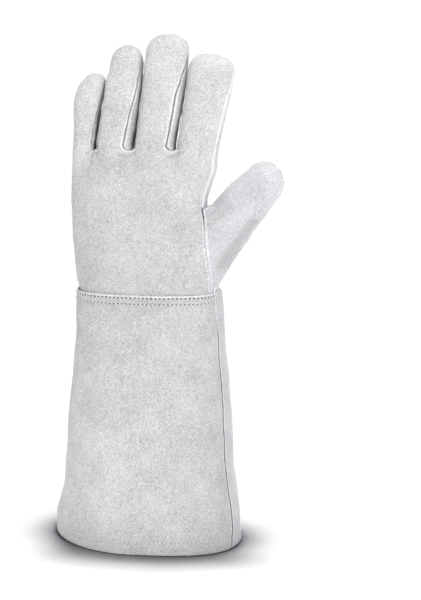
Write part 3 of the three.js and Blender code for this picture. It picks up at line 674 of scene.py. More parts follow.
def fold_depth(points):
    """How far the folds sink the leather: each by its depth, times a bell of the way to its run."""
    depth = np.zeros(len(points))
    for _, run, deep, wide, on_palm in FOLDS:
        run = np.array(run)
        t = np.linspace(0, len(run) - 1, 40)
        path = np.stack([np.interp(t, np.arange(len(run)), run[:, k]) for k in (0, 1)], axis=-1)
        away = np.linalg.norm(points[:, None, (0, 2)] - path, axis=-1).min(axis=1)
        this_side = (points[:, 1] > 0) == on_palm
        depth += np.where(this_side, deep * bell(away, wide), 0)
    return depth


# Fingertips that aren't even: the middle of each place in x and z, how far it swells, and how wide it is
SHOULDERS = (
    (-54.0, 366.0, -2.6, 7.0),
    (-35.0, 363.0, 2.0, 6.0),
    (63.0, 381.0, -2.4, 7.0),
)


# The little finger's side is stuffed out by so many mm, and by as much again over the slots: where in x and z
# that begins, and over what lengths it and the finger's part come up
STUFFED = 0.8
STUFFED_X, STUFFED_X_RUN = -47.0, 9.0
STUFFED_Z, STUFFED_Z_RUN, STUFFED_FINGER_RUN = 206.0, 20.0, 25.0


def leather_lift(points):
    """The leather's own unevenness, the same for every panel at the same place: swells and bells.

    The little finger's side is stuffed out a little further, by soft steps, most at that finger.
    """
    x, z = points[:, 0], points[:, 2]
    outer = smooth((STUFFED_X - x) / STUFFED_X_RUN) * smooth((z - STUFFED_Z) / STUFFED_Z_RUN)
    stuffed = outer * STUFFED * (1 + smooth((z - SLOTS) / STUFFED_FINGER_RUN))
    for middle_x, middle_z, swell, wide in SHOULDERS:
        stuffed += swell * bell(np.hypot(x - middle_x, z - middle_z), wide)
    return stuffed + swell_of(points, HAND_SWELLS)


# A seam that is sewn flat gets the painted seam shade of a point this far from a seam, in mm
FLAT_SEAM = 0.85
# The thumb's front seam is sewn flat below a height and beyond an x, each with the run that it takes, in mm
FLAT_BELOW, FLAT_BEYOND = (CROTCH - 4, 8), (34, 6)


def beside_thumb(points):
    """1 along the thumb's front seam, which is sewn flat, and 0 away from it, by soft steps in x and z."""
    low = smooth((FLAT_BELOW[0] - points[:, 2]) / FLAT_BELOW[1])
    return low * smooth((points[:, 0] - FLAT_BEYOND[0]) / FLAT_BEYOND[1]) * (points[:, 1] < 0)


# Below this level in mm a panel's edges are inside the cuff, and aren't rolled in
INSIDE_CUFF = 204.0
# How deep and how wide a panel rolls in at a seam, in mm, and how much less where it is sewn flat
ROLL_DEPTH, ROLL_WIDTH, ROLL_LESS = 0.85, 1.8, 0.6
# The pucker beside a seam: its height, its length and how far it reaches, in mm
PUCKER, PUCKER_LENGTH, PUCKER_REACH = 0.22, 9, 5
PUCKER_SEED = 21


def sew(leather):
    """Rolls a panel in at its seams as a quarter circle, and puckers it beside them.

    Each point moves along its normal. Returns each point's way to the nearest seam, which sets its painted
    seam shade, held off where the seam is sewn flat.
    """
    rim = leather.points[leather.rim()]
    away = distance_to(leather.points, rim[rim[:, 2] > INSIDE_CUFF])
    normals = leather.normals()
    flat = beside_thumb(leather.points)
    roll = ROLL_DEPTH * rounded(away, ROLL_WIDTH) * (1 - ROLL_LESS * flat)
    swell = PUCKER * ripple(leather.points, PUCKER_LENGTH, PUCKER_SEED) * bell(away, PUCKER_REACH)
    lift = leather_lift(leather.points) + swell - roll - fold_depth(leather.points)
    leather.points = leather.points + normals * lift[:, None]
    return np.maximum(away, flat * FLAT_SEAM)


def linear(hex_colour):
    """An sRGB hex colour as the linear numbers that a shader takes, by the sRGB curve."""
    value = hex_colour.lstrip("#")
    parts = [int(value[i:i + 2], 16) / 255 for i in (0, 2, 4)]
    return tuple(c / 12.92 if c <= 0.04045 else ((c + 0.055) / 1.055) ** 2.4 for c in parts) + (1.0,)


# Kinds of shader node that come up often
NOISE, RAMP, MATH, STEP = "ShaderNodeTexNoise", "ShaderNodeValToRGB", "ShaderNodeMath", "ShaderNodeMapRange"


def node(tree, kind, sockets=None, out=0, stops=(), **settings):
    """Adds a node with its settings and links, and returns one of its outputs by number or name.

    sockets are its inputs by name or number: each a number or another node's output. stops are the
    places and hex colours of a ramp.
    """
    made = tree.nodes.new(kind)
    for name, value in settings.items():
        setattr(made, name, value)
    for socket, value in (sockets or {}).items():
        target = made.inputs[socket]
        if isinstance(value, bpy.types.NodeSocket):
            tree.links.new(value, target)
        else:
            target.default_value = value
    for i, (place, colour) in enumerate(stops):
        elements = made.color_ramp.elements
        element = elements[i] if i < len(elements) else elements.new(place)
        element.position, element.color = place, linear(colour)
    return made.outputs[out] if made.outputs else None


def per_metre(size):
    """The scale of a pattern whose lumps are a size in millimetres: how many go into a metre."""
    return 1 / (size * MM)


def new_material(name):
    """A material with one shader, and what its patterns are laid out by: the piece's own coordinates."""
    material = bpy.data.materials.new(name)
    material.use_nodes = True
    tree = material.node_tree
    tree.nodes.clear()
    surface = node(tree, "ShaderNodeBsdfPrincipled")
    node(tree, "ShaderNodeOutputMaterial", {"Surface": surface})
    return material, tree, surface.node.inputs, node(tree, "ShaderNodeTexCoord", out="Object")


def coat(tree, shader, colour, height, strength, depth, roughness, more=None):
    """Gives a shader its colour, a bump from a height that is some mm deep, and its other numbers."""
    tree.links.new(colour, shader["Base Color"])
    bump = node(tree, "ShaderNodeBump", {"Height": height, "Strength": strength, "Distance": depth * MM})
    tree.links.new(bump, shader["Normal"])
    for name, value in {"Roughness": roughness, **(more or {})}.items():
        shader[name].default_value = value


def seam_shade(tree):
    """Painted shade by the way to the nearest seam in mm: dark in the seam, a painted highlight on a pale rim
    beside it, then none.

    It is a soft step from dark to 1, times 1 plus a soft step up to the rim's painted highlight and down
    again.
    """
    away = node(tree, "ShaderNodeAttribute", out="Fac", attribute_name="seam")
    # dark is the painted shade in a seam; rise and fall make the painted highlight on the rim beside it
    dark, rise, fall = (
        node(tree, STEP, {0: away, 1: start, 2: end, 3: low, 4: high}, interpolation_type="SMOOTHSTEP")
        for start, end, low, high in ((0.15, 0.95, 0.5, 1.0), (0.7, 1.2, 0.0, 0.28), (1.5, 2.8, 1.0, 0.0))
    )
    pale = node(tree, MATH, {0: rise, 1: fall, 2: 1.0}, operation="MULTIPLY_ADD")
    return node(tree, MATH, {0: dark, 1: pale}, operation="MULTIPLY")


# How far up its run from dark to light the nap's middle colour lies
NAP_MIDDLE = 0.6


def suede(name, light, dark, nap_depth, sheen):
    """Split leather, brushed to a nap: short fibres scatter light, so it looks soft and has no shine.

    The eye gets a fine pale and dark speckle, soft patches, and painted shade in seams and creases. The
    colour runs from dark to light by three noises added up, and is then scaled by pale hairs, dark pits, and
    painted shade and highlight by the way to a seam and by the creases. The speckle is about 1 mm across,
    coarser than real fibres so that it shows.
    """
    material, tree, shader, place = new_material(name)
    speckle, clumps, patches, fuzz = (
        node(tree, NOISE, {"Vector": place, "Scale": per_metre(size), "Detail": detail, "Roughness": rough})
        for size, detail, rough in ((0.8, 2.0, 0.7), (2.6, 3.0, 0.65), (24.0, 4.0, 0.62), (0.6, 2.0, 0.6))
    )
    blend = node(tree, MATH, {0: speckle, 1: 0.66}, operation="MULTIPLY")
    blend = node(tree, MATH, {0: clumps, 1: 0.16, 2: blend}, operation="MULTIPLY_ADD")
    blend = node(tree, MATH, {0: patches, 1: 0.18, 2: blend}, operation="MULTIPLY_ADD")
    middle = mix_hex(dark, light, NAP_MIDDLE)
    colour = node(tree, RAMP, {"Fac": blend}, stops=[(0.39, dark), (0.5, middle), (0.6, light)])
    hairs, pits = (
        node(tree, NOISE, {"Vector": place, "Scale": per_metre(size), "Detail": 1.0, "Roughness": 0.4},
             noise_dimensions="4D")
        for size in (0.85, 1.5)
    )
    shade, pitted = (
        node(tree, STEP, {0: noise, 1: start, 2: end, 3: low, 4: high}, interpolation_type="SMOOTHSTEP")
        for noise, start, end, low, high in ((hairs, 0.64, 0.72, 1.0, 1.13), (pits, 0.27, 0.34, 0.74, 1.0))
    )
    # The crease attribute is painted shade in folds, in the slots and beside the cuff's seams, and painted
    # highlight where it is below 0, on the cuff's lips
    crease = node(tree, "ShaderNodeAttribute", out="Fac", attribute_name="crease")
    folded = node(tree, MATH, {0: crease, 1: -0.6, 2: 1.0}, operation="MULTIPLY_ADD")
    for part in (pitted, seam_shade(tree), folded):
        shade = node(tree, MATH, {0: shade, 1: part}, operation="MULTIPLY")
    tint = node(tree, "ShaderNodeVectorMath", {0: colour, "Scale": shade}, operation="SCALE")
    height = node(tree, MATH, {0: speckle, 1: 0.8, 2: fuzz}, operation="MULTIPLY_ADD")
    coat(tree, shader, tint, height, 0.6, nap_depth, 0.93,
         {"Specular IOR Level": 0.2, "Sheen Weight": sheen, "Sheen Roughness": 0.55})
    return material


def mix_hex(a, b, t):
    """A hex colour part of the way from one to another."""
    pairs = [(int(a[i:i + 2], 16), int(b[i:i + 2], 16)) for i in (1, 3, 5)]
    return "#" + "".join(f"{round(mix(x, y, t)):02x}" for x, y in pairs)


def grain(name, light, dark):
    """Smooth grain leather under a thin satin finish: it looks closed and even, with a wide soft shine.

    A close pebble of pores breaks the shine up, and soft patches of tone keep it from looking like plastic.
    """
    material, tree, shader, place = new_material(name)
    pores = node(tree, "ShaderNodeTexVoronoi", {"Vector": place, "Scale": per_metre(1.3)},
                 feature="SMOOTH_F1")
    patches, fine = (
        node(tree, NOISE, {"Vector": place, "Scale": per_metre(size), "Detail": detail, "Roughness": 0.6})
        for size, detail in ((9.0, 4.0), (1.1, 3.0))
    )
    blend = node(tree, MATH, {0: fine, 1: 0.5}, operation="MULTIPLY")
    blend = node(tree, MATH, {0: patches, 1: 0.5, 2: blend}, operation="MULTIPLY_ADD")
    colour = node(tree, RAMP, {"Fac": blend}, stops=[(0.36, dark), (0.66, light)])
    height = node(tree, MATH, {0: fine, 1: 0.35, 2: pores}, operation="MULTIPLY_ADD")
    coat(tree, shader, colour, height, 0.35, 0.35, 0.62, {"Specular IOR Level": 0.35})
    return material


def cut_edge(name, light, dark):
    """The raw edge of a leather strip: packed fibres, paler than the nap, that look rough and hairy."""
    material, tree, shader, place = new_material(name)
    fibres = node(tree, NOISE, {"Vector": place, "Scale": per_metre(0.8), "Detail": 4.0, "Roughness": 0.7})
    colour = node(tree, RAMP, {"Fac": fibres}, stops=[(0.35, dark), (0.65, light)])
    coat(tree, shader, colour, fibres, 0.5, 0.4, 0.9, {"Specular IOR Level": 0.2})
    return material


def thread(name, light, dark):
    """Bonded three-ply sewing thread: twisted strands that show as slanting bands, with a slight shine."""
    material, tree, shader, place = new_material(name)
    ply = node(tree, "ShaderNodeTexWave", {"Vector": place, "Scale": per_metre(2.4), "Distortion": 0.6},
               out="Fac", wave_type="BANDS", bands_direction="DIAGONAL")
    colour = node(tree, RAMP, {"Fac": ply}, stops=[(0.2, dark), (0.8, light)])
    coat(tree, shader, colour, ply, 0.4, 0.15, 0.6)
    return material


def hole_shade_disc(name, colour):
    """Painted shade for a needle's hole: one dark colour with no shine, standing in for the shade deep in the
    hole.
    """
    material, _, shader, _ = new_material(name)
    shader["Base Color"].default_value = linear(colour)
    shader["Roughness"].default_value = 1.0
    shader["Specular IOR Level"].default_value = 0.0
    return material


MATERIALS = {}


def material_for(slot):
    """The material of a slot, made once."""
    if slot not in MATERIALS:
        colours = bpy.context.scene.gauntlet_leather
        makers = {
            "split_leather": lambda: suede("split leather, brushed nap", colours.suede_light,
                                           colours.suede_dark, 0.8, 0.25),
            "fine_split_leather": lambda: suede("split leather, fine nap", colours.fine_light,
                                                colours.fine_dark, 0.55, 0.2),
            "grain_leather": lambda: grain("grain leather, satin finish", colours.grain_light,
                                           colours.grain_dark),
            "welt_leather": lambda: cut_edge("leather, raw cut edge", colours.welt_light, colours.welt_dark),
            "thread": lambda: thread("bonded sewing thread", colours.thread_light, colours.thread_dark),
            "hole_shade_disc": lambda: hole_shade_disc("leather, shaded needle hole", colours.hole),
        }
        MATERIALS[slot] = makers[slot]()
    return MATERIALS[slot]


def finish_piece(name, points, faces, slot, replaced=(), wall=0.0, material=None, **shades):
    """Makes a mesh from millimetres, gives it its material and wall, and lets it ride on the glove.

    shades are numbers for each point that the leather's material reads for its painted shade and highlight,
    such as seam and crease.
    """
    mesh = bpy.data.meshes.new(name)
    mesh.from_pydata(((points + SHIFT) * MM).tolist(), [], faces)
    mesh.update()
    mesh.shade_smooth()
    for shade, values in shades.items():
        layer = mesh.attributes.new(shade, "FLOAT", "POINT")
        layer.data.foreach_set("value", values.astype(np.float32))
    piece = bpy.data.objects.new(name, mesh)
    bpy.context.scene.collection.objects.link(piece)
    mesh.materials.append(material_for(material or slot))
    if wall:
        solid = piece.modifiers.new("wall", "SOLIDIFY")
        solid.thickness = wall * MM
        solid.offset = -1
        solid.use_even_offset = False
    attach(piece, "root")
    if replaced:
        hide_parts(*replaced)
    return piece


# How much painted shade each millimetre of a fold's depth puts on the nap, and the most that it may
PAINTED_FOLD_SHADE, DEEPEST_SHADE = 0.13, 0.4


def panel(name, sheets, slot, replaced, relax=4, crease=None):
    """A sewn panel of the hand from its grids: relaxed, folded, rolled in at its seams, and given painted
    shade in its folds and seams.
    """
    settings = bpy.context.scene.gauntlet_leather
    leather = Leather(sheets)
    leather.relax(relax)
    folded = np.minimum(fold_depth(leather.points) * PAINTED_FOLD_SHADE, DEEPEST_SHADE)
    shades = {"seam": sew(leather)}
    shades["crease"] = folded + (crease(leather.points) if crease else 0.0)
    faces = leather.quads.tolist() + leather.triangles.tolist()
    return finish_piece(name, leather.points, faces, slot, replaced, settings.wall / MM, **shades)


# The painted shade inside a slot: the y midway between back and palm, how far from there it goes, and how
# full it is
SLOT_MIDDLE, SLOT_REACH, SLOT_FULL = 1.5, 9, 1.3
# Its share at the top of a slot, what it gains further down, the height that starts at and its run, in mm
SLOT_TOP, SLOT_GAIN, SLOT_FROM, SLOT_RUN = 0.45, 0.55, 356, 36


def slot_painted_shade(points):
    """How much painted shade the nap gets inside a slot: by soft steps, most midway between back and palm,
    and low down.
    """
    inside = smooth(SLOT_FULL - np.abs(points[:, 1] - SLOT_MIDDLE) / SLOT_REACH)
    return inside * (SLOT_TOP + SLOT_GAIN * smooth((SLOT_FROM - points[:, 2]) / SLOT_RUN))


def back_sheets():
    """The back of the hand: each finger's back, the strip of the hand below it, and those under the slots."""
    sheets = []
    for i, finger in enumerate(FINGERS):
        sheets.append(finger_sheet(finger, "back_left", "back_right", BACK_COLUMNS))
        sheets.append(sheet(BACK_COLUMNS, HAND_LEVELS, STRIPS[i]["back"]))
        if i < 3:
            sheets.append(sheet(SLOT_COLUMNS, HAND_LEVELS, slot_strip(i, True)))
    return sheets


LOW_PALM = HAND_LEVELS[HAND_LEVELS <= BASE_SEAM]
HIGH_PALM = HAND_LEVELS[HAND_LEVELS >= BASE_SEAM]


def palm_sheets():
    """The palm up to the base seam, and on up over the outer two fingers' fronts."""
    sheets = []
    for i, finger in enumerate(FINGERS):
        at_end = i in (0, 3)
        rows = HAND_LEVELS if at_end else LOW_PALM
        sheets.append(sheet(BACK_COLUMNS, rows, STRIPS[i]["palm"]))
        if at_end:
            sheets.append(finger_sheet(finger, "palm_right", "palm_left", BACK_COLUMNS))
        if i < 3:
            sheets.append(sheet(SLOT_COLUMNS, LOW_PALM if i == 1 else HAND_LEVELS, slot_strip(i, False)))
    return sheets


def two_finger_sheets():
    """The fronts of the inner two fingers, from the base seam up, and the slot between them."""
    sheets = [sheet(SLOT_COLUMNS, HIGH_PALM, slot_strip(1, False))]
    for i in (1, 2):
        sheets.append(sheet(BACK_COLUMNS, HIGH_PALM, STRIPS[i]["palm"]))
        sheets.append(finger_sheet(FINGERS[i], "palm_right", "palm_left", BACK_COLUMNS))
    return sheets


def fourchette_sheets(i):
    """A side strip: the two walls of a slot and the saddle between them."""
    left, right = FINGERS[i], FINGERS[i + 1]
    saddle = sheet(SLOT_COLUMNS, WALL_COLUMNS, lambda across, depth: slot_point(left, right, across, depth))
    return [
        finger_sheet(left, "back_right", "palm_right", WALL_COLUMNS),
        finger_sheet(right, "palm_left", "back_left", WALL_COLUMNS, lift_start=-360.0),
        saddle,
    ]


# How far on the thumb's own direction is taken, in rows, and how strongly the blend follows it
ONWARD, ONWARD_PULL = 0.3, 2.2


def thumb_sheets(back):
    """The root along the hand's levels, a soft blend to the thumb's first row, the thumb and its tip.

    The blend is a cubic from the root to that row, which ends in the thumb's own direction.
    """
    def share(t, split):
        return split * t if back else mix(split, 1.0, t)

    def root(t, z):
        return thumb_root_point(share(t, read(THUMB_ROOT, "split", z)), z)

    def free(t, row, tip):
        return thumb_point(share(t, read(THUMB, "split", row)), row, tip)

    root_levels = HAND_LEVELS[HAND_LEVELS <= CROTCH]
    steps = np.linspace(0, 1, 13)
    s, t = np.meshgrid(steps, THUMB_COLUMNS, indexing="ij")
    last, first = root(t, np.full_like(t, CROTCH)), free(t, np.zeros_like(t), np.zeros_like(t))
    onward = free(t, np.full_like(t, ONWARD), np.zeros_like(t)) - first
    chord = first - last
    weight = s[..., None]
    blend = last + chord * weight + (onward * ONWARD_PULL - chord) * (weight ** 2 * (weight - 1))
    rows = np.linspace(0, LAST_ROW, 31)
    along = sheet(THUMB_COLUMNS, rows, lambda t, row: free(t, row, np.zeros_like(row)))
    tips = np.concatenate([[0.0], np.sin(TIP_TURNS)])
    tip = sheet(THUMB_COLUMNS, tips, lambda t, tip: free(t, np.full_like(tip, LAST_ROW), tip))
    return [sheet(THUMB_COLUMNS, root_levels, root), blend, along, tip]


def corner_rise(angle):
    """How far the rear half's top rises to its corner beside the thumb: one soft step up and one down."""
    rising = smooth((angle - CORNER_RISES[0]) / (CORNER_RISES[1] - CORNER_RISES[0]))
    falling = smooth((angle - CORNER_FALLS[0]) / (CORNER_FALLS[1] - CORNER_FALLS[0]))
    return CUFF_CORNER_RISE * rising * (1 - falling)


# The cuff's wall, the rounding of its hem's bottom and of its top lip, and how high the hem keeps its shape
CUFF_WALL = 1.8
HEM_ROUND = 1.7
LIP_RADIUS = CUFF_WALL / 2
HEM_STILL = 3.0
# The height over which the cuff's unevenness begins above the floor
SETTLED = 18.0
# The heights of the cuff's two rows of stitches under its top, and of the row that holds its hem
TOP_ROWS = (CUFF_TOP - 2.1, CUFF_TOP - 6.8)
HEM_ROW = HEM_HEIGHT - 1.0
# Ways to a seam, in mm: where its painted highlight rim is palest, and one with no painted seam shade
PAINTED_HIGHLIGHT_RIM = 1.3
FAR = 9.0
# How deep the cuff rolls in at a seam where it is slack and where it is tight, and how wide
CUFF_ROLL, CUFF_ROLL_WIDTH = (0.45, 1.35), 1.7
# Its seams are tight up to the first height, and slack from the second
TIGHT_TO, SLACK_FROM = 164.0, 190.0
# The pucker beside its seams: how high it is, its length and its seed
CUFF_PUCKER = (0.05, 8, 34)
# How deep and how wide the leather sinks at its top rows and at its hem's row
ROW_GROOVE, HEM_GROOVE = (0.42, 0.9), (0.4, 1.0)
# The height over which its corner rises, and how wide the painted highlight on its lips is at its top and
# bottom
CORNER_RUN = 14.0
TOP_LIP, BOTTOM_LIP = 1.8, 1.4
# How much paler the cuff's top and bottom lips are made, as a crease's painted shade with its sign turned:
# partly the paler raw cut edge, partly painted highlight where the lips lie in shade
LIP_PAINTED_HIGHLIGHT = 0.4
# The painted shade under its rows: how dark it is, how far under the top it starts and over how much, in mm
ROW_SHADE, ROW_SHADE_FROM, ROW_SHADE_RUN = 0.08, 18, 12
# How far the painted shade beside its tight seams reaches, in mm, and how slowly the painted rim highlight
# leaves its top and bottom
SEAM_CREASE, RIM_SLOPE = 1.2, 0.8
# Its top corner on the thumb's side is drawn in by so many mm, past an x and a height, each with its run
DRAWN_IN, DRAWN_PAST_X, DRAWN_ABOVE = 1.9, (45, 20), (160, 30)


def cuff_swell(points):
    """The cuff leather's own unevenness, with its top corner on the thumb's side drawn in by soft steps."""
    x, z = points[..., 0], points[..., 2]
    corner = smooth((x - DRAWN_PAST_X[0]) / DRAWN_PAST_X[1]) * smooth((z - DRAWN_ABOVE[0]) / DRAWN_ABOVE[1])
    return (swell_of(points, CUFF_SWELLS) - DRAWN_IN * corner) * smooth(z / SETTLED)


def cuff_profile():
    """The closed section of the cuff's wall: how far in from its face each point is, and its height.

    It runs down the face, round the bottom in a half oval, up the folded-in hem and the inside, and over
    the lip in a half circle.
    """
    hem, edge = 2 * CUFF_WALL, CUFF_TOP - LIP_RADIUS
    down = levels(0.0, edge, step=1.25)[::-1]
    turns = np.radians(np.linspace(0, 180, 9))
    bottom = np.stack([hem / 2 * (1 - np.cos(turns)), HEM_ROUND * (1 - np.sin(turns))], axis=-1)
    outside = np.stack([np.zeros_like(down), down], axis=-1)[down > HEM_ROUND]
    folded = [(hem, 5.0), (hem, HEM_HEIGHT - 0.6), (hem - 0.5, HEM_HEIGHT), (CUFF_WALL, HEM_HEIGHT + 0.4)]
    inside = np.stack([np.full(24, CUFF_WALL), np.linspace(HEM_HEIGHT + 4, edge, 24)], axis=-1)
    top = np.radians(np.linspace(0, 180, 7)[1:-1])
    lip = np.stack([LIP_RADIUS * (1 + np.cos(top)), edge + LIP_RADIUS * np.sin(top)], axis=-1)
    return np.concatenate([outside, bottom, folded, inside, lip])


def cuff_half(name, start, end, corner, replaced, slot):
    """Half of the cuff: its section carried round from one seam to the other.

    The face rolls in at both seams as a quarter circle, less towards the top, where it isn't drawn tight.
    It sinks by a bell at each row of stitches.
    """
    profile = cuff_profile()
    inset = profile[:, 0][None]
    angle, z = np.broadcast_arrays(mix(start, end, crowded(230))[:, None], profile[:, 1][None])
    level = z + (corner_rise(angle) * smooth((z - CUFF_TOP) / CORNER_RUN + 1) if corner else 0.0)
    surface = cuff_point(angle, level)
    out = way_out(cuff_point, angle, level)
    out[..., 2] = 0
    out = unit(out)
    gap = np.minimum(*(np.linalg.norm(surface - side, axis=-1) for side in (surface[:1], surface[-1:])))
    tight = smooth((SLACK_FROM - z) / (SLACK_FROM - TIGHT_TO))
    roll = mix(*CUFF_ROLL, tight) * rounded(gap, CUFF_ROLL_WIDTH)
    pucker = swell_of(surface, [CUFF_PUCKER]) * bell(gap, PUCKER_REACH) * smooth(z / SETTLED)
    to_rows = np.minimum(*(np.abs(z - row) for row in TOP_ROWS))
    stitched = ROW_GROOVE[0] * bell(to_rows, ROW_GROOVE[1]) + HEM_GROOVE[0] * bell(z - HEM_ROW, HEM_GROOVE[1])
    outer = np.where(inset < 1.0, 1.0, 0.0)
    lift = cuff_swell(surface) + pucker - (roll + stitched) * outer
    points = surface + out * (lift - inset)[..., None]
    points[..., 2] = np.where(z < HEM_STILL, z, points[..., 2])
    number = np.arange(z.size).reshape(z.shape)
    ahead = np.roll(number, -1, axis=1)
    quads = np.stack([number[:-1], ahead[:-1], ahead[1:], number[1:]], axis=-1).reshape(-1, 4)
    caps = [number[0][::-1].tolist(), number[-1].tolist()]
    # seam gives the painted highlight rim at the lips and the painted seam shade; crease gives painted shade
    # beside tight seams and under the rows, and painted highlight on the lips
    edge = np.minimum(np.abs(z - CUFF_TOP), np.abs(z)) * RIM_SLOPE + PAINTED_HIGHLIGHT_RIM
    seam = np.minimum(np.where(outer > 0, gap + 1 - tight, FAR), edge)
    lips = smooth(1 - np.abs(z - CUFF_TOP) / TOP_LIP) + smooth(1 - z / BOTTOM_LIP)
    under_rows = ROW_SHADE * smooth((z - CUFF_TOP + ROW_SHADE_FROM) / ROW_SHADE_RUN) * (1 - lips)
    crease = (smooth(SEAM_CREASE - gap) * tight + under_rows) * outer - lips * LIP_PAINTED_HIGHLIGHT
    return finish_piece(name, points.reshape(-1, 3), quads.tolist() + caps, slot, replaced,
                        seam=seam.reshape(-1), crease=crease.reshape(-1))


def tube(number):
    """The faces of closed tubes from their points' numbers: the last axis runs round, the next along."""
    ahead = np.roll(number, -1, axis=-1)
    sides = [number[..., :-1, :], number[..., 1:, :], ahead[..., 1:, :], ahead[..., :-1, :]]
    ends = [end.reshape(-1, number.shape[-1]).tolist() for end in (number[..., 0, :], number[..., -1, ::-1])]
    return np.stack(sides, axis=-1).reshape(-1, 4).tolist() + ends[0] + ends[1]


# A welt's section: its angles, its width and height in mm, and how far down its feet go
WELT_TURNS = np.radians([180, 150, 120, 90, 60, 30, 0, 320, 220])
WELT_WIDTH, WELT_HEIGHT, WELT_FEET = 2.0, 0.9, -0.5
# How unevenly it is cut: how far it wanders, the length of that in mm, and its seed
WELT_WOBBLE = (0.12, 5, 51)
# How far the two welts sink between their panels, in mm
INDEX_WELT_LIFT, BASE_WELT_LIFT = -0.25, -0.2
# The x of the line inside the index finger that its welt faces away from, at the crotch and the tip's start
INDEX_AXIS = (10, 51)
# The way out at the base of the fingers
BASE_WAY_OUT = (0.0, 1.0, 0.15)


def welt(name, path, normals, lift, replaced):
    """A raw strip that stands in a seam: an oval section carried along the seam, cut off at its feet."""
    along = unit(np.gradient(path, axis=0))
    side = unit(np.cross(along, normals))
    across = np.cos(WELT_TURNS) * WELT_WIDTH / 2
    up = np.maximum(np.sin(WELT_TURNS), WELT_FEET) * WELT_HEIGHT
    wobble = swell_of(path, [WELT_WOBBLE])
    points = (path[:, None] + side[:, None] * (across[None] + wobble[:, None])[..., None]
              + normals[:, None] * (up + lift)[None, :, None])
    number = np.arange(points[..., 0].size).reshape(points.shape[:2])
    return finish_piece(name, points.reshape(-1, 3), tube(number), "welt_leather", replaced)


# How deep the cuff's rows are pulled in, how far a needle hole's disc of painted shade stands clear of the
# leather, and how far beside its seam the thumb's row runs, in mm
ROW_SUNK = 0.28
HOLE_LIFT = 0.12
BESIDE_SEAM = 2.2


def even_path(path, normals, pitch, first=0.5):
    """Points a pitch apart along a path, with the way along, across and out at each."""
    lengths = np.concatenate([[0], np.cumsum(np.linalg.norm(np.diff(path, axis=0), axis=1))])
    at = np.arange(pitch * first, lengths[-1], pitch)
    centres, along, out = (
        np.stack([np.interp(at, lengths, values[:, k]) for k in range(3)], axis=-1)
        for values in (path, np.gradient(path, axis=0), normals)
    )
    along, out = unit(along), unit(out)
    return centres, along, unit(np.cross(along, out)), out


# A thread's form in its own radius: how it thins at its ends, stands in its middle and dives at its ends
THREAD_THINS, THREAD_STANDS, THREAD_DIVES = 0.82, 0.5, 1.3


def stitches(name, runs):
    """Stitches: one short rounded thread a pitch, bowed so that both ends dive into the leather.

    Its bow is a square of the way from its middle, and its thickness the root of 1 less most of that square.
    """
    settings = bpy.context.scene.gauntlet_stitching
    pitch, length, radius = settings.pitch / MM, settings.length / MM, settings.thread / MM / 2
    s = np.linspace(-1, 1, 7)
    turns = np.linspace(0, 2 * np.pi, 7)[:-1]
    thick = radius * np.sqrt(1 - s ** 2 * THREAD_THINS)
    bow = THREAD_STANDS * radius - THREAD_DIVES * radius * s ** 2
    points, faces, start = [], [], 0
    for path, normals in runs:
        centres, along, side, out = even_path(path, normals, pitch)
        spine = (centres[:, None] + along[:, None] * (s * length / 2)[None, :, None]
                 + out[:, None] * bow[None, :, None])
        ring = (side[:, None, None] * (thick[:, None] * np.cos(turns))[None, ..., None]
                + out[:, None, None] * (thick[:, None] * np.sin(turns))[None, ..., None])
        made = spine[:, :, None] + ring
        number = np.arange(made[..., 0].size).reshape(made.shape[:3]) + start
        points.append(made.reshape(-1, 3))
        faces += tube(number)
        start += number.size
    return finish_piece(name, np.concatenate(points), faces, "welt_leather", material="thread")


def needle_holes(name, runs):
    """Painted shade for the needle's holes between stitches: small flat dark ovals along each run, just clear
    of the leather.
    """
    pitch = bpy.context.scene.gauntlet_stitching.pitch / MM
    turns = np.linspace(0, 2 * np.pi, 9)[:-1]
    points, faces, start = [], [], 0
    for path, normals, length, width in runs:
        centres, along, side, out = even_path(path, normals, pitch, 0.0)
        made = (centres[:, None] + out[:, None] * HOLE_LIFT
                + along[:, None] * (np.cos(turns) * length / 2)[None, :, None]
                + side[:, None] * (np.sin(turns) * width / 2)[None, :, None])
        number = np.arange(made[..., 0].size).reshape(made.shape[:2]) + start
        points.append(made.reshape(-1, 3))
        faces += number[:, ::-1].tolist()
        start += number.size
    return finish_piece(name, np.concatenate(points), faces, "welt_leather", material="hole_shade_disc")


def on_face(surface_at, swell, angle, z, lift):
    """Points that stand some way out of a surface with its unevenness, and the way out at each."""
    surface = surface_at(angle, z)
    out = way_out(surface_at, angle, z)
    return surface + out * (swell(surface) + lift)[:, None], out


def cuff_row(z, start, end, corner=False, lift=0.0):
    """A run of stitches round the cuff at a height."""
    angle = np.linspace(start, end, 300)
    level = z + (corner_rise(angle) if corner else np.zeros_like(angle))
    return on_face(cuff_point, cuff_swell, angle, level, lift - ROW_SUNK)


# How far the reinforcement's face stands off the palm, and how far in from its thumb edge its rows are sewn
PATCH_TOP = 1.75
PATCH_ROWS = (2.8, 6.0)
# How far its stitches stand out of it, and the depth and width of its rolled edge and of its sewn groove
PATCH_STITCH = 0.02
PATCH_ROLL, PATCH_ROLL_WIDTH = 0.8, 1.1
PATCH_GROOVE, PATCH_GROOVE_WIDTH = 0.2, 0.9
PATCH_WALL = 1.3
# How far from its bottom and top its long rows end, and how far in from its far edge that edge's row is, in
# mm and in degrees
PATCH_ROW_ENDS, PATCH_FAR_ROW = (2, 2.5), 5.0
# The share of its width that its thumb edge's rows lie in, and the angles between which its top row runs
PATCH_NEAR_SHARE, PATCH_TOP_ROW = 0.35, (256, 316)
# The thumb's front row: its lowest and highest level, and how far it sinks into the leather, in mm
THUMB_RUN, THUMB_RUN_SUNK = (207.5, 254), 0.2
# The thumb's tip row: its first row and how many it spans, where along it the tip starts, how fast it climbs
# the tip and how far, and how far it sinks into the leather
TIP_RUN_ROWS, TIP_RUN_CLIMB, TIP_RUN_SUNK = (1.6, 2.4), (0.58, 2.1, 0.86), 0.3
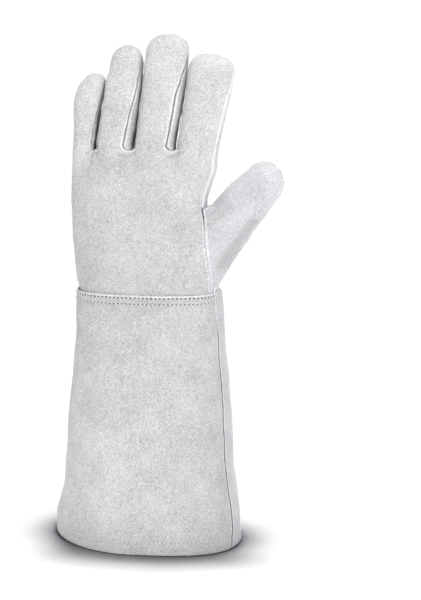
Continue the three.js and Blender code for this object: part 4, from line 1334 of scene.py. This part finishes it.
# How far beside the thumb's seam it is sewn, as a part of the way round, and the same a little to each side
TIP_RUN_BESIDE, TIP_RUN_LESS, TIP_RUN_MORE = 0.03, 0.01, 0.05
# The side seam's row: how far it ends from the hem and from the top in mm, how far behind the seam it is in
# degrees, and how far it sinks into the leather
SIDE_ROW_ENDS, SIDE_ROW_BEHIND, SIDE_ROW_SUNK = (4, 9), 0.9, 0.5


def patch_grid(columns, rows):
    """The reinforcement on the hand's face, from its thumb edge to the other."""
    z, t = np.meshgrid(rows, columns, indexing="ij")
    angle = mix(read(PATCH_EDGE, "edge", z), PATCH_FAR_EDGE, t)
    return hand_point(angle, z)


def patch_runs():
    """The reinforcement's rows: two along its thumb edge, one down its far edge and one across its top."""
    z = np.linspace(PATCH_LEVELS[0] + PATCH_ROW_ENDS[0], PATCH_LEVELS[1] - PATCH_ROW_ENDS[1], 160)
    t = np.linspace(0, PATCH_NEAR_SHARE, 90)
    surface = patch_grid(t, z)
    away = distance_to(surface.reshape(-1, 3), surface[:, 0]).reshape(len(z), len(t))
    edge = read(PATCH_EDGE, "edge", z)
    insets = [np.array([np.interp(inset, row, t) for row in away]) for inset in PATCH_ROWS]
    across = np.linspace(*PATCH_TOP_ROW, 120)
    rows = [(mix(edge, PATCH_FAR_EDGE, share), z) for share in insets]
    rows.append((np.full_like(z, PATCH_FAR_EDGE - PATCH_FAR_ROW), z))
    rows.append((across, np.full_like(across, PATCH_LEVELS[1] - PATCH_ROWS[0])))
    lift = PATCH_TOP + PATCH_STITCH
    return [on_face(hand_point, leather_lift, angle, level, lift) for angle, level in rows]


def thumb_run():
    """The stitches beside the thumb's front seam, on the back of the hand."""
    z = np.linspace(*THUMB_RUN, 120)
    path, out = on_face(hand_point, leather_lift, outer_seam(z), z, -THUMB_RUN_SUNK)
    inward = unit(np.cross(np.gradient(hand_point(outer_seam(z), z), axis=0), out))
    return path - inward * BESIDE_SEAM, out


def thumb_tip_run():
    """The stitches beside the thumb's outer seam on its palm side, over the tip."""
    s = np.linspace(0, 1, 120)
    first, rows = TIP_RUN_ROWS
    turn, climb, most = TIP_RUN_CLIMB
    row, tip = np.minimum(first + s * rows, LAST_ROW), np.clip((s - turn) * climb, 0, most)
    split = read(THUMB, "split", row)
    path, less, more = (
        thumb_point(split + beside, row, tip) for beside in (TIP_RUN_BESIDE, TIP_RUN_LESS, TIP_RUN_MORE)
    )
    out = unit(np.cross(more - less, np.gradient(path, axis=0)))
    return path + out * (leather_lift(path) - fold_depth(path) - TIP_RUN_SUNK)[:, None], out


def side_run(angle):
    """The stitches in the cuff's side seam: a row just behind the seam, from the hem up."""
    z = np.linspace(SIDE_ROW_ENDS[0], CUFF_TOP - SIDE_ROW_ENDS[1], 300)
    behind = np.full_like(z, angle + SIDE_ROW_BEHIND)
    return on_face(cuff_point, cuff_swell, behind, z, -SIDE_ROW_SUNK)


def colour_setting(name, description, default):
    """A setting for a colour: an sRGB hex string."""
    return bpy.props.StringProperty(name=name, description=description, default=default)


def number_setting(name, description, default, unit="NONE"):
    """A setting for a number, with the unit that Blender shows it in."""
    return bpy.props.FloatProperty(name=name, description=description, default=default, unit=unit)


def length_setting(name, description, default, least, most):
    """A setting for a length in metres, between two others."""
    return bpy.props.FloatProperty(name=name, description=description, default=default, min=least, max=most,
                                   unit="LENGTH")


class GauntletLeather(bpy.types.PropertyGroup):
    """The leather: its thickness and colours."""
    wall: length_setting("Wall", "Thickness of the split leather", 0.0016, 0.001, 0.003)
    suede_light: colour_setting("Nap", "Colour of the brushed nap", "#e2e2e3")
    suede_dark: colour_setting("Parted nap", "Colour where the nap parts", "#a6a6a9")
    # The fine nap's light colour is partly its own smoother nap and partly painted light, paler to brighten
    # the cuff's rear strip and the thumb's back
    fine_light: colour_setting("Fine nap", "Colour of the fine nap", "#dfdfe1")
    fine_dark: colour_setting("Fine parted nap", "Colour where the fine nap parts", "#b0b0b4")
    grain_light: colour_setting("Grain", "Colour of the grain leather", "#d6d7da")
    grain_dark: colour_setting("Pores", "Colour of the grain's pores", "#c0c1c5")
    welt_light: colour_setting("Welt", "Colour of a cut edge", "#ececee")
    welt_dark: colour_setting("Welt fibres", "Colour between the edge's fibres", "#cfcfd3")
    thread_light: colour_setting("Thread", "Colour of the thread", "#f6f6f7")
    thread_dark: colour_setting("Thread twist", "Colour between the strands", "#cdcdd1")
    # Painted shade: the dark colour of a needle's hole
    hole: colour_setting("Needle holes", "Colour in a needle's hole", "#4e4e52")


class GauntletStitching(bpy.types.PropertyGroup):
    """The stitches: how far apart, how long and how thick."""
    pitch: length_setting("Pitch", "From one stitch to the next", 0.0033, 0.002, 0.006)
    length: length_setting("Length", "Length of thread that shows", 0.0023, 0.001, 0.005)
    thread: length_setting("Thread", "Thickness of the thread", 0.0010, 0.0004, 0.0015)


class GauntletStudio(bpy.types.PropertyGroup):
    """The studio: its light and the camera's lens."""
    daylight: number_setting("Surround", "Strength of the white surround", 0.24)
    horizon: number_setting("Horizon", "Strength of the surround near the horizon", 1.85)
    overhead: number_setting("Overhead", "Strength of the soft light above and behind", 2.2)
    side: number_setting("Side", "Power of the soft box at the front right, in watts", 0.49, "POWER")
    low: number_setting("Low", "Power of the low soft box at the front left, in watts", 0.043, "POWER")
    lens: number_setting("Lens", "Focal length in millimetres", 116.58, "CAMERA")


class GAUNTLET_OT_hand(bpy.types.Operator):
    """Makes the back, the palm and the two-finger front"""
    bl_idname = "gauntlet.hand"
    bl_label = "Hand panels"

    def execute(self, context):
        panel("back_of_hand_leather", back_sheets(), "split_leather", ["back_panel"])
        panel("palm_leather", palm_sheets(), "split_leather", ["palm_panel"])
        panel("ring_and_middle_front_leather", two_finger_sheets(), "split_leather", ["two_finger_front"])
        return {"FINISHED"}


class GAUNTLET_OT_fourchettes(bpy.types.Operator):
    """Makes the side strips between the fingers"""
    bl_idname = "gauntlet.fourchettes"
    bl_label = "Fourchettes"

    def execute(self, context):
        strips = ("fourchette_little_ring", "fourchette_ring_middle", "fourchette_middle_index")
        for i, strip in enumerate(strips):
            panel(strip + "_leather", fourchette_sheets(i), "split_leather", [strip], 1, slot_painted_shade)
        return {"FINISHED"}


class GAUNTLET_OT_thumb(bpy.types.Operator):
    """Makes the thumb's suede back and its smooth palm side"""
    bl_idname = "gauntlet.thumb"
    bl_label = "Thumb"

    def execute(self, context):
        panel("thumb_back_leather", thumb_sheets(True), "fine_split_leather", ["thumb_back"], relax=30)
        panel("thumb_front_leather", thumb_sheets(False), "grain_leather", ["thumb_front"], relax=30)
        return {"FINISHED"}


class GAUNTLET_OT_cuff(bpy.types.Operator):
    """Makes the two halves of the flared cuff"""
    bl_idname = "gauntlet.cuff"
    bl_label = "Cuff"

    def execute(self, context):
        left, right = CUFF_SEAMS
        cuff_half("cuff_front_leather", left, right, False, ["cuff_front"], "split_leather")
        cuff_half("cuff_rear_leather", right, 360 + left, True, ["cuff_rear"], "fine_split_leather")
        return {"FINISHED"}


class GAUNTLET_OT_patch(bpy.types.Operator):
    """Makes the smooth reinforcement on the palm"""
    bl_idname = "gauntlet.patch"
    bl_label = "Palm reinforcement"

    def execute(self, context):
        rows = levels(PATCH_LEVELS[0], 257.0, PATCH_LEVELS[1], step=0.9)
        leather = Leather([patch_grid(crowded(110), rows)])
        away = distance_to(leather.points, leather.points[leather.rim()])
        normals = leather.normals()
        roll = PATCH_ROLL * rounded(away, PATCH_ROLL_WIDTH)
        groove = PATCH_GROOVE * bell(away - PATCH_ROWS[0], PATCH_GROOVE_WIDTH)
        lift = leather_lift(leather.points) + PATCH_TOP - roll - groove
        leather.points = leather.points + normals * lift[:, None]
        finish_piece("palm_reinforcement_leather", leather.points, leather.quads.tolist(), "grain_leather",
                     ["palm_patch"], PATCH_WALL, seam=away)
        return {"FINISHED"}


class GAUNTLET_OT_welts(bpy.types.Operator):
    """Makes the welts in the index finger's outer seam and across the base of two fingers"""
    bl_idname = "gauntlet.welts"
    bl_label = "Welts"

    def execute(self, context):
        index = FINGERS[3]
        low = HAND_LEVELS[HAND_LEVELS > CROTCH]
        high = levels(SLOTS, index["tip"]["start"], step=1.0)[1:]
        path = np.concatenate([
            STRIPS[3]["back"](np.ones_like(low), low),
            finger_point(index, seam_of(index, "back_right", high), high),
        ])
        axis = points_of(np.interp(path[:, 2], (CROTCH, index["tip"]["start"]), INDEX_AXIS), 1.0, path[:, 2])
        out = unit(path - axis)
        path = path + out * leather_lift(path)[:, None]
        welt("index_seam_welt", path, out, INDEX_WELT_LIFT, ["index_welt"])
        t = np.linspace(0, 1, 30)
        level = np.full_like(t, BASE_SEAM)
        across = np.concatenate([STRIPS[2]["palm"](t, level), slot_strip(1, False)(t, level)[1:-1],
                                 STRIPS[1]["palm"](t, level)])
        out = np.tile(BASE_WAY_OUT, (len(across), 1))
        across = across + out * leather_lift(across)[:, None]
        welt("finger_base_seam_welt", across, unit(out), BASE_WELT_LIFT, ["finger_base_welt"])
        return {"FINISHED"}


# The length and width of a needle hole's disc of painted shade in the cuff's top and lower rows, the hem, the
# reinforcement, the thumb and the cuff's side seam, in mm
HOLE_SHADE_SIZES = ((2.1, 1.1), (1.2, 1.0), (0.6, 0.45), (1.1, 0.9), (0.9, 0.7), (1.3, 0.8))


class GAUNTLET_OT_stitches(bpy.types.Operator):
    """Sews the cuff, the hem, the palm reinforcement and the thumb"""
    bl_idname = "gauntlet.stitches"
    bl_label = "Stitches"

    def execute(self, context):
        left, right = CUFF_SEAMS
        top, lower = TOP_ROWS
        # Each row of the cuff starts and ends a few degrees clear of the seams
        top_rows = [cuff_row(top, left + 1, right - 1.2), cuff_row(top, right + 4, 358 + left, True)]
        lower_rows = [cuff_row(lower, left + 1, right - 1.2), cuff_row(lower, right + 2, 358 + left)]
        hem_rows = [cuff_row(HEM_ROW, left + 1, right - 1, lift=0.15),
                    cuff_row(HEM_ROW, right + 1, 359 + left, lift=0.15)]
        patch_rows, thumb_rows = patch_runs(), [thumb_run(), thumb_tip_run()]
        stitches("cuff_top_stitches", top_rows + lower_rows)
        stitches("hem_stitches", hem_rows)
        stitches("palm_reinforcement_stitches", patch_rows)
        stitches("thumb_seam_stitches", thumb_rows)
        rows = (top_rows, lower_rows, hem_rows, patch_rows, thumb_rows, [side_run(right)])
        needle_holes("needle_holes", [(*run, *size) for runs, size in zip(rows, HOLE_SHADE_SIZES) for run in runs])
        return {"FINISHED"}


# How far the floor runs each way, past the top of the picture, and how far the painted contact shadow round
# the glove reaches, in metres
FLOOR_REACH = 150.0
PAINTED_SHADOW_REACH = 0.048
# The floor's colour by how open the sky over it is: a painted contact shadow, darkest where the glove closes
# it in
FLOOR_PAINTED_SHADOW = ((0.45, "#39393c"), (0.66, "#8b8b8f"), (0.94, "#fbfbfc"))
# Between these heights, as parts of the way up, the surround goes from its horizon's strength to its own
HORIZON_BAND = (0.16, 0.4)
# Each soft box: its place, the point that it faces and its size, in metres, and its beam in degrees
SOFT_BOXES = {
    "side": ((0.38, -0.62, 0.56), (0, 0, 0.42), 0.4, 62.0),
    "low": ((-0.12, -0.42, 0.05), (0, -0.02, 0.01), 0.16, 44.0),
}
# The light above: the way to it, and how wide it looks in degrees
OVERHEAD_WAY, OVERHEAD_WIDTH = (0.03, 0.19, 1.0), 9.0


class GAUNTLET_OT_stage(bpy.types.Operator):
    """Makes the pale floor with its painted contact shadow, the soft light and the camera"""
    bl_idname = "gauntlet.stage"
    bl_label = "Stage"

    def execute(self, context):
        studio = context.scene.gauntlet_studio
        mesh = bpy.data.meshes.new("floor")
        far = FLOOR_REACH
        mesh.from_pydata([(-far, -far, 0), (far, -far, 0), (far, far, 0), (-far, far, 0)], [], [(0, 1, 2, 3)])
        floor = bpy.data.objects.new("floor", mesh)
        context.scene.collection.objects.link(floor)
        material, tree, shader, _ = new_material("matt white studio floor")
        # Painted contact shadow: the floor's colour darkens by ambient occlusion near the glove
        open_sky = node(tree, "ShaderNodeAmbientOcclusion", {"Distance": PAINTED_SHADOW_REACH}, out="AO", samples=8)
        shade = node(tree, RAMP, {"Fac": open_sky}, stops=FLOOR_PAINTED_SHADOW)
        tree.links.new(shade, shader["Base Color"])
        shader["Roughness"].default_value = 0.9
        shader["Specular IOR Level"].default_value = 0.1
        mesh.materials.append(material)
        world = bpy.data.worlds.new("white surround")
        world.use_nodes = True
        tree = world.node_tree
        sky = tree.nodes["Background"].inputs
        way = node(tree, "ShaderNodeTexCoord", out="Generated")
        height = node(tree, "ShaderNodeSeparateXYZ", {0: way}, out="Z")
        low, high = HORIZON_BAND
        strength = node(tree, STEP, {0: height, 1: low, 2: high, 3: studio.horizon, 4: studio.daylight},
                        interpolation_type="SMOOTHSTEP")
        tree.links.new(strength, sky["Strength"])
        sky["Color"].default_value = (1.0, 1.0, 1.0, 1.0)
        context.scene.world = world
        overhead_light(studio.overhead)
        for name, box in SOFT_BOXES.items():
            soft_box(name, getattr(studio, name), *box)
        add_camera(studio.lens)
        context.scene.view_settings.view_transform = "Standard"
        context.scene.view_settings.look = "None"
        return {"FINISHED"}


def add_lamp(name, kind, energy, place, target):
    """A lamp that faces a point and isn't seen itself."""
    data = bpy.data.lights.new(name, kind)
    data.energy = energy
    lamp = bpy.data.objects.new(name, data)
    lamp.location = place
    lamp.rotation_euler = (Vector(target) - Vector(place)).to_track_quat("-Z", "Y").to_euler()
    lamp.visible_camera = False
    bpy.context.scene.collection.objects.link(lamp)
    return data


def overhead_light(strength):
    """Wide light from almost straight above, a little behind, so that the shadow falls before the hem."""
    data = add_lamp("overhead", "SUN", strength, OVERHEAD_WAY, (0, 0, 0))
    data.angle = math.radians(OVERHEAD_WIDTH)


def soft_box(name, power, place, target, size, spread):
    """A square soft box with a grid that narrows its beam."""
    data = add_lamp(name, "AREA", power, place, target)
    data.shape = "SQUARE"
    data.size = size
    data.spread = math.radians(spread)


# The photograph's camera: how far it is turned to the thumb side and looks down, in degrees, and how far
# back, to the side and up it stands, in mm
CAMERA_TURN, CAMERA_PITCH = 10.0, 9.4
CAMERA_BACK, CAMERA_SIDE, CAMERA_HEIGHT = 1510.0, 50.0, 443.0


def add_camera(lens):
    """The photograph's camera."""
    turn, pitch = math.radians(CAMERA_TURN), math.radians(CAMERA_PITCH)
    right = np.array([math.cos(turn), math.sin(turn), 0.0])
    ahead = np.array([-math.sin(turn), math.cos(turn), 0.0])
    place = (-CAMERA_BACK * ahead + CAMERA_SIDE * right + np.array([0, 0, CAMERA_HEIGHT]) + SHIFT) * MM
    look = Vector(ahead * math.cos(pitch) - np.array([0, 0, math.sin(pitch)]))
    data = bpy.data.cameras.new("camera")
    data.lens = lens
    data.sensor_width = 36.0
    data.clip_start = 0.05
    camera = bpy.data.objects.new("camera", data)
    camera.location = place
    camera.rotation_euler = look.to_track_quat("-Z", "Y").to_euler()
    bpy.context.scene.collection.objects.link(camera)
    bpy.context.scene.camera = camera


OPERATORS = (
    GAUNTLET_OT_stage, GAUNTLET_OT_hand, GAUNTLET_OT_fourchettes, GAUNTLET_OT_thumb, GAUNTLET_OT_cuff,
    GAUNTLET_OT_patch, GAUNTLET_OT_welts, GAUNTLET_OT_stitches,
)
SETTINGS = (("gauntlet_leather", GauntletLeather), ("gauntlet_stitching", GauntletStitching),
            ("gauntlet_studio", GauntletStudio))


class GAUNTLET_PT_panel(bpy.types.Panel):
    """Lists the gauntlet's settings and what makes its pieces"""
    bl_idname = "GAUNTLET_PT_panel"
    bl_label = "Leather Gauntlet"
    bl_space_type = "VIEW_3D"
    bl_region_type = "UI"
    bl_category = "Gauntlet"

    def draw(self, context):
        for name, group in SETTINGS:
            box = self.layout.box()
            for prop in group.__annotations__:
                box.prop(getattr(context.scene, name), prop)
        for operator in OPERATORS:
            self.layout.operator(operator.bl_idname)


def register():
    """Adds the settings to each scene, and the operators and the panel to Blender."""
    for name, group in SETTINGS:
        bpy.utils.register_class(group)
        setattr(bpy.types.Scene, name, bpy.props.PointerProperty(type=group))
    for made in (*OPERATORS, GAUNTLET_PT_panel):
        bpy.utils.register_class(made)


def unregister():
    """Takes out what register put in, last first."""
    for made in reversed((*OPERATORS, GAUNTLET_PT_panel)):
        bpy.utils.unregister_class(made)
    for name, group in reversed(SETTINGS):
        delattr(bpy.types.Scene, name)
        bpy.utils.unregister_class(group)


def main():
    """Makes every piece in order."""
    register()
    for operator in OPERATORS:
        group, name = operator.bl_idname.split(".")
        getattr(getattr(bpy.ops, group), name)()


if __name__ == "__main__":
    main()
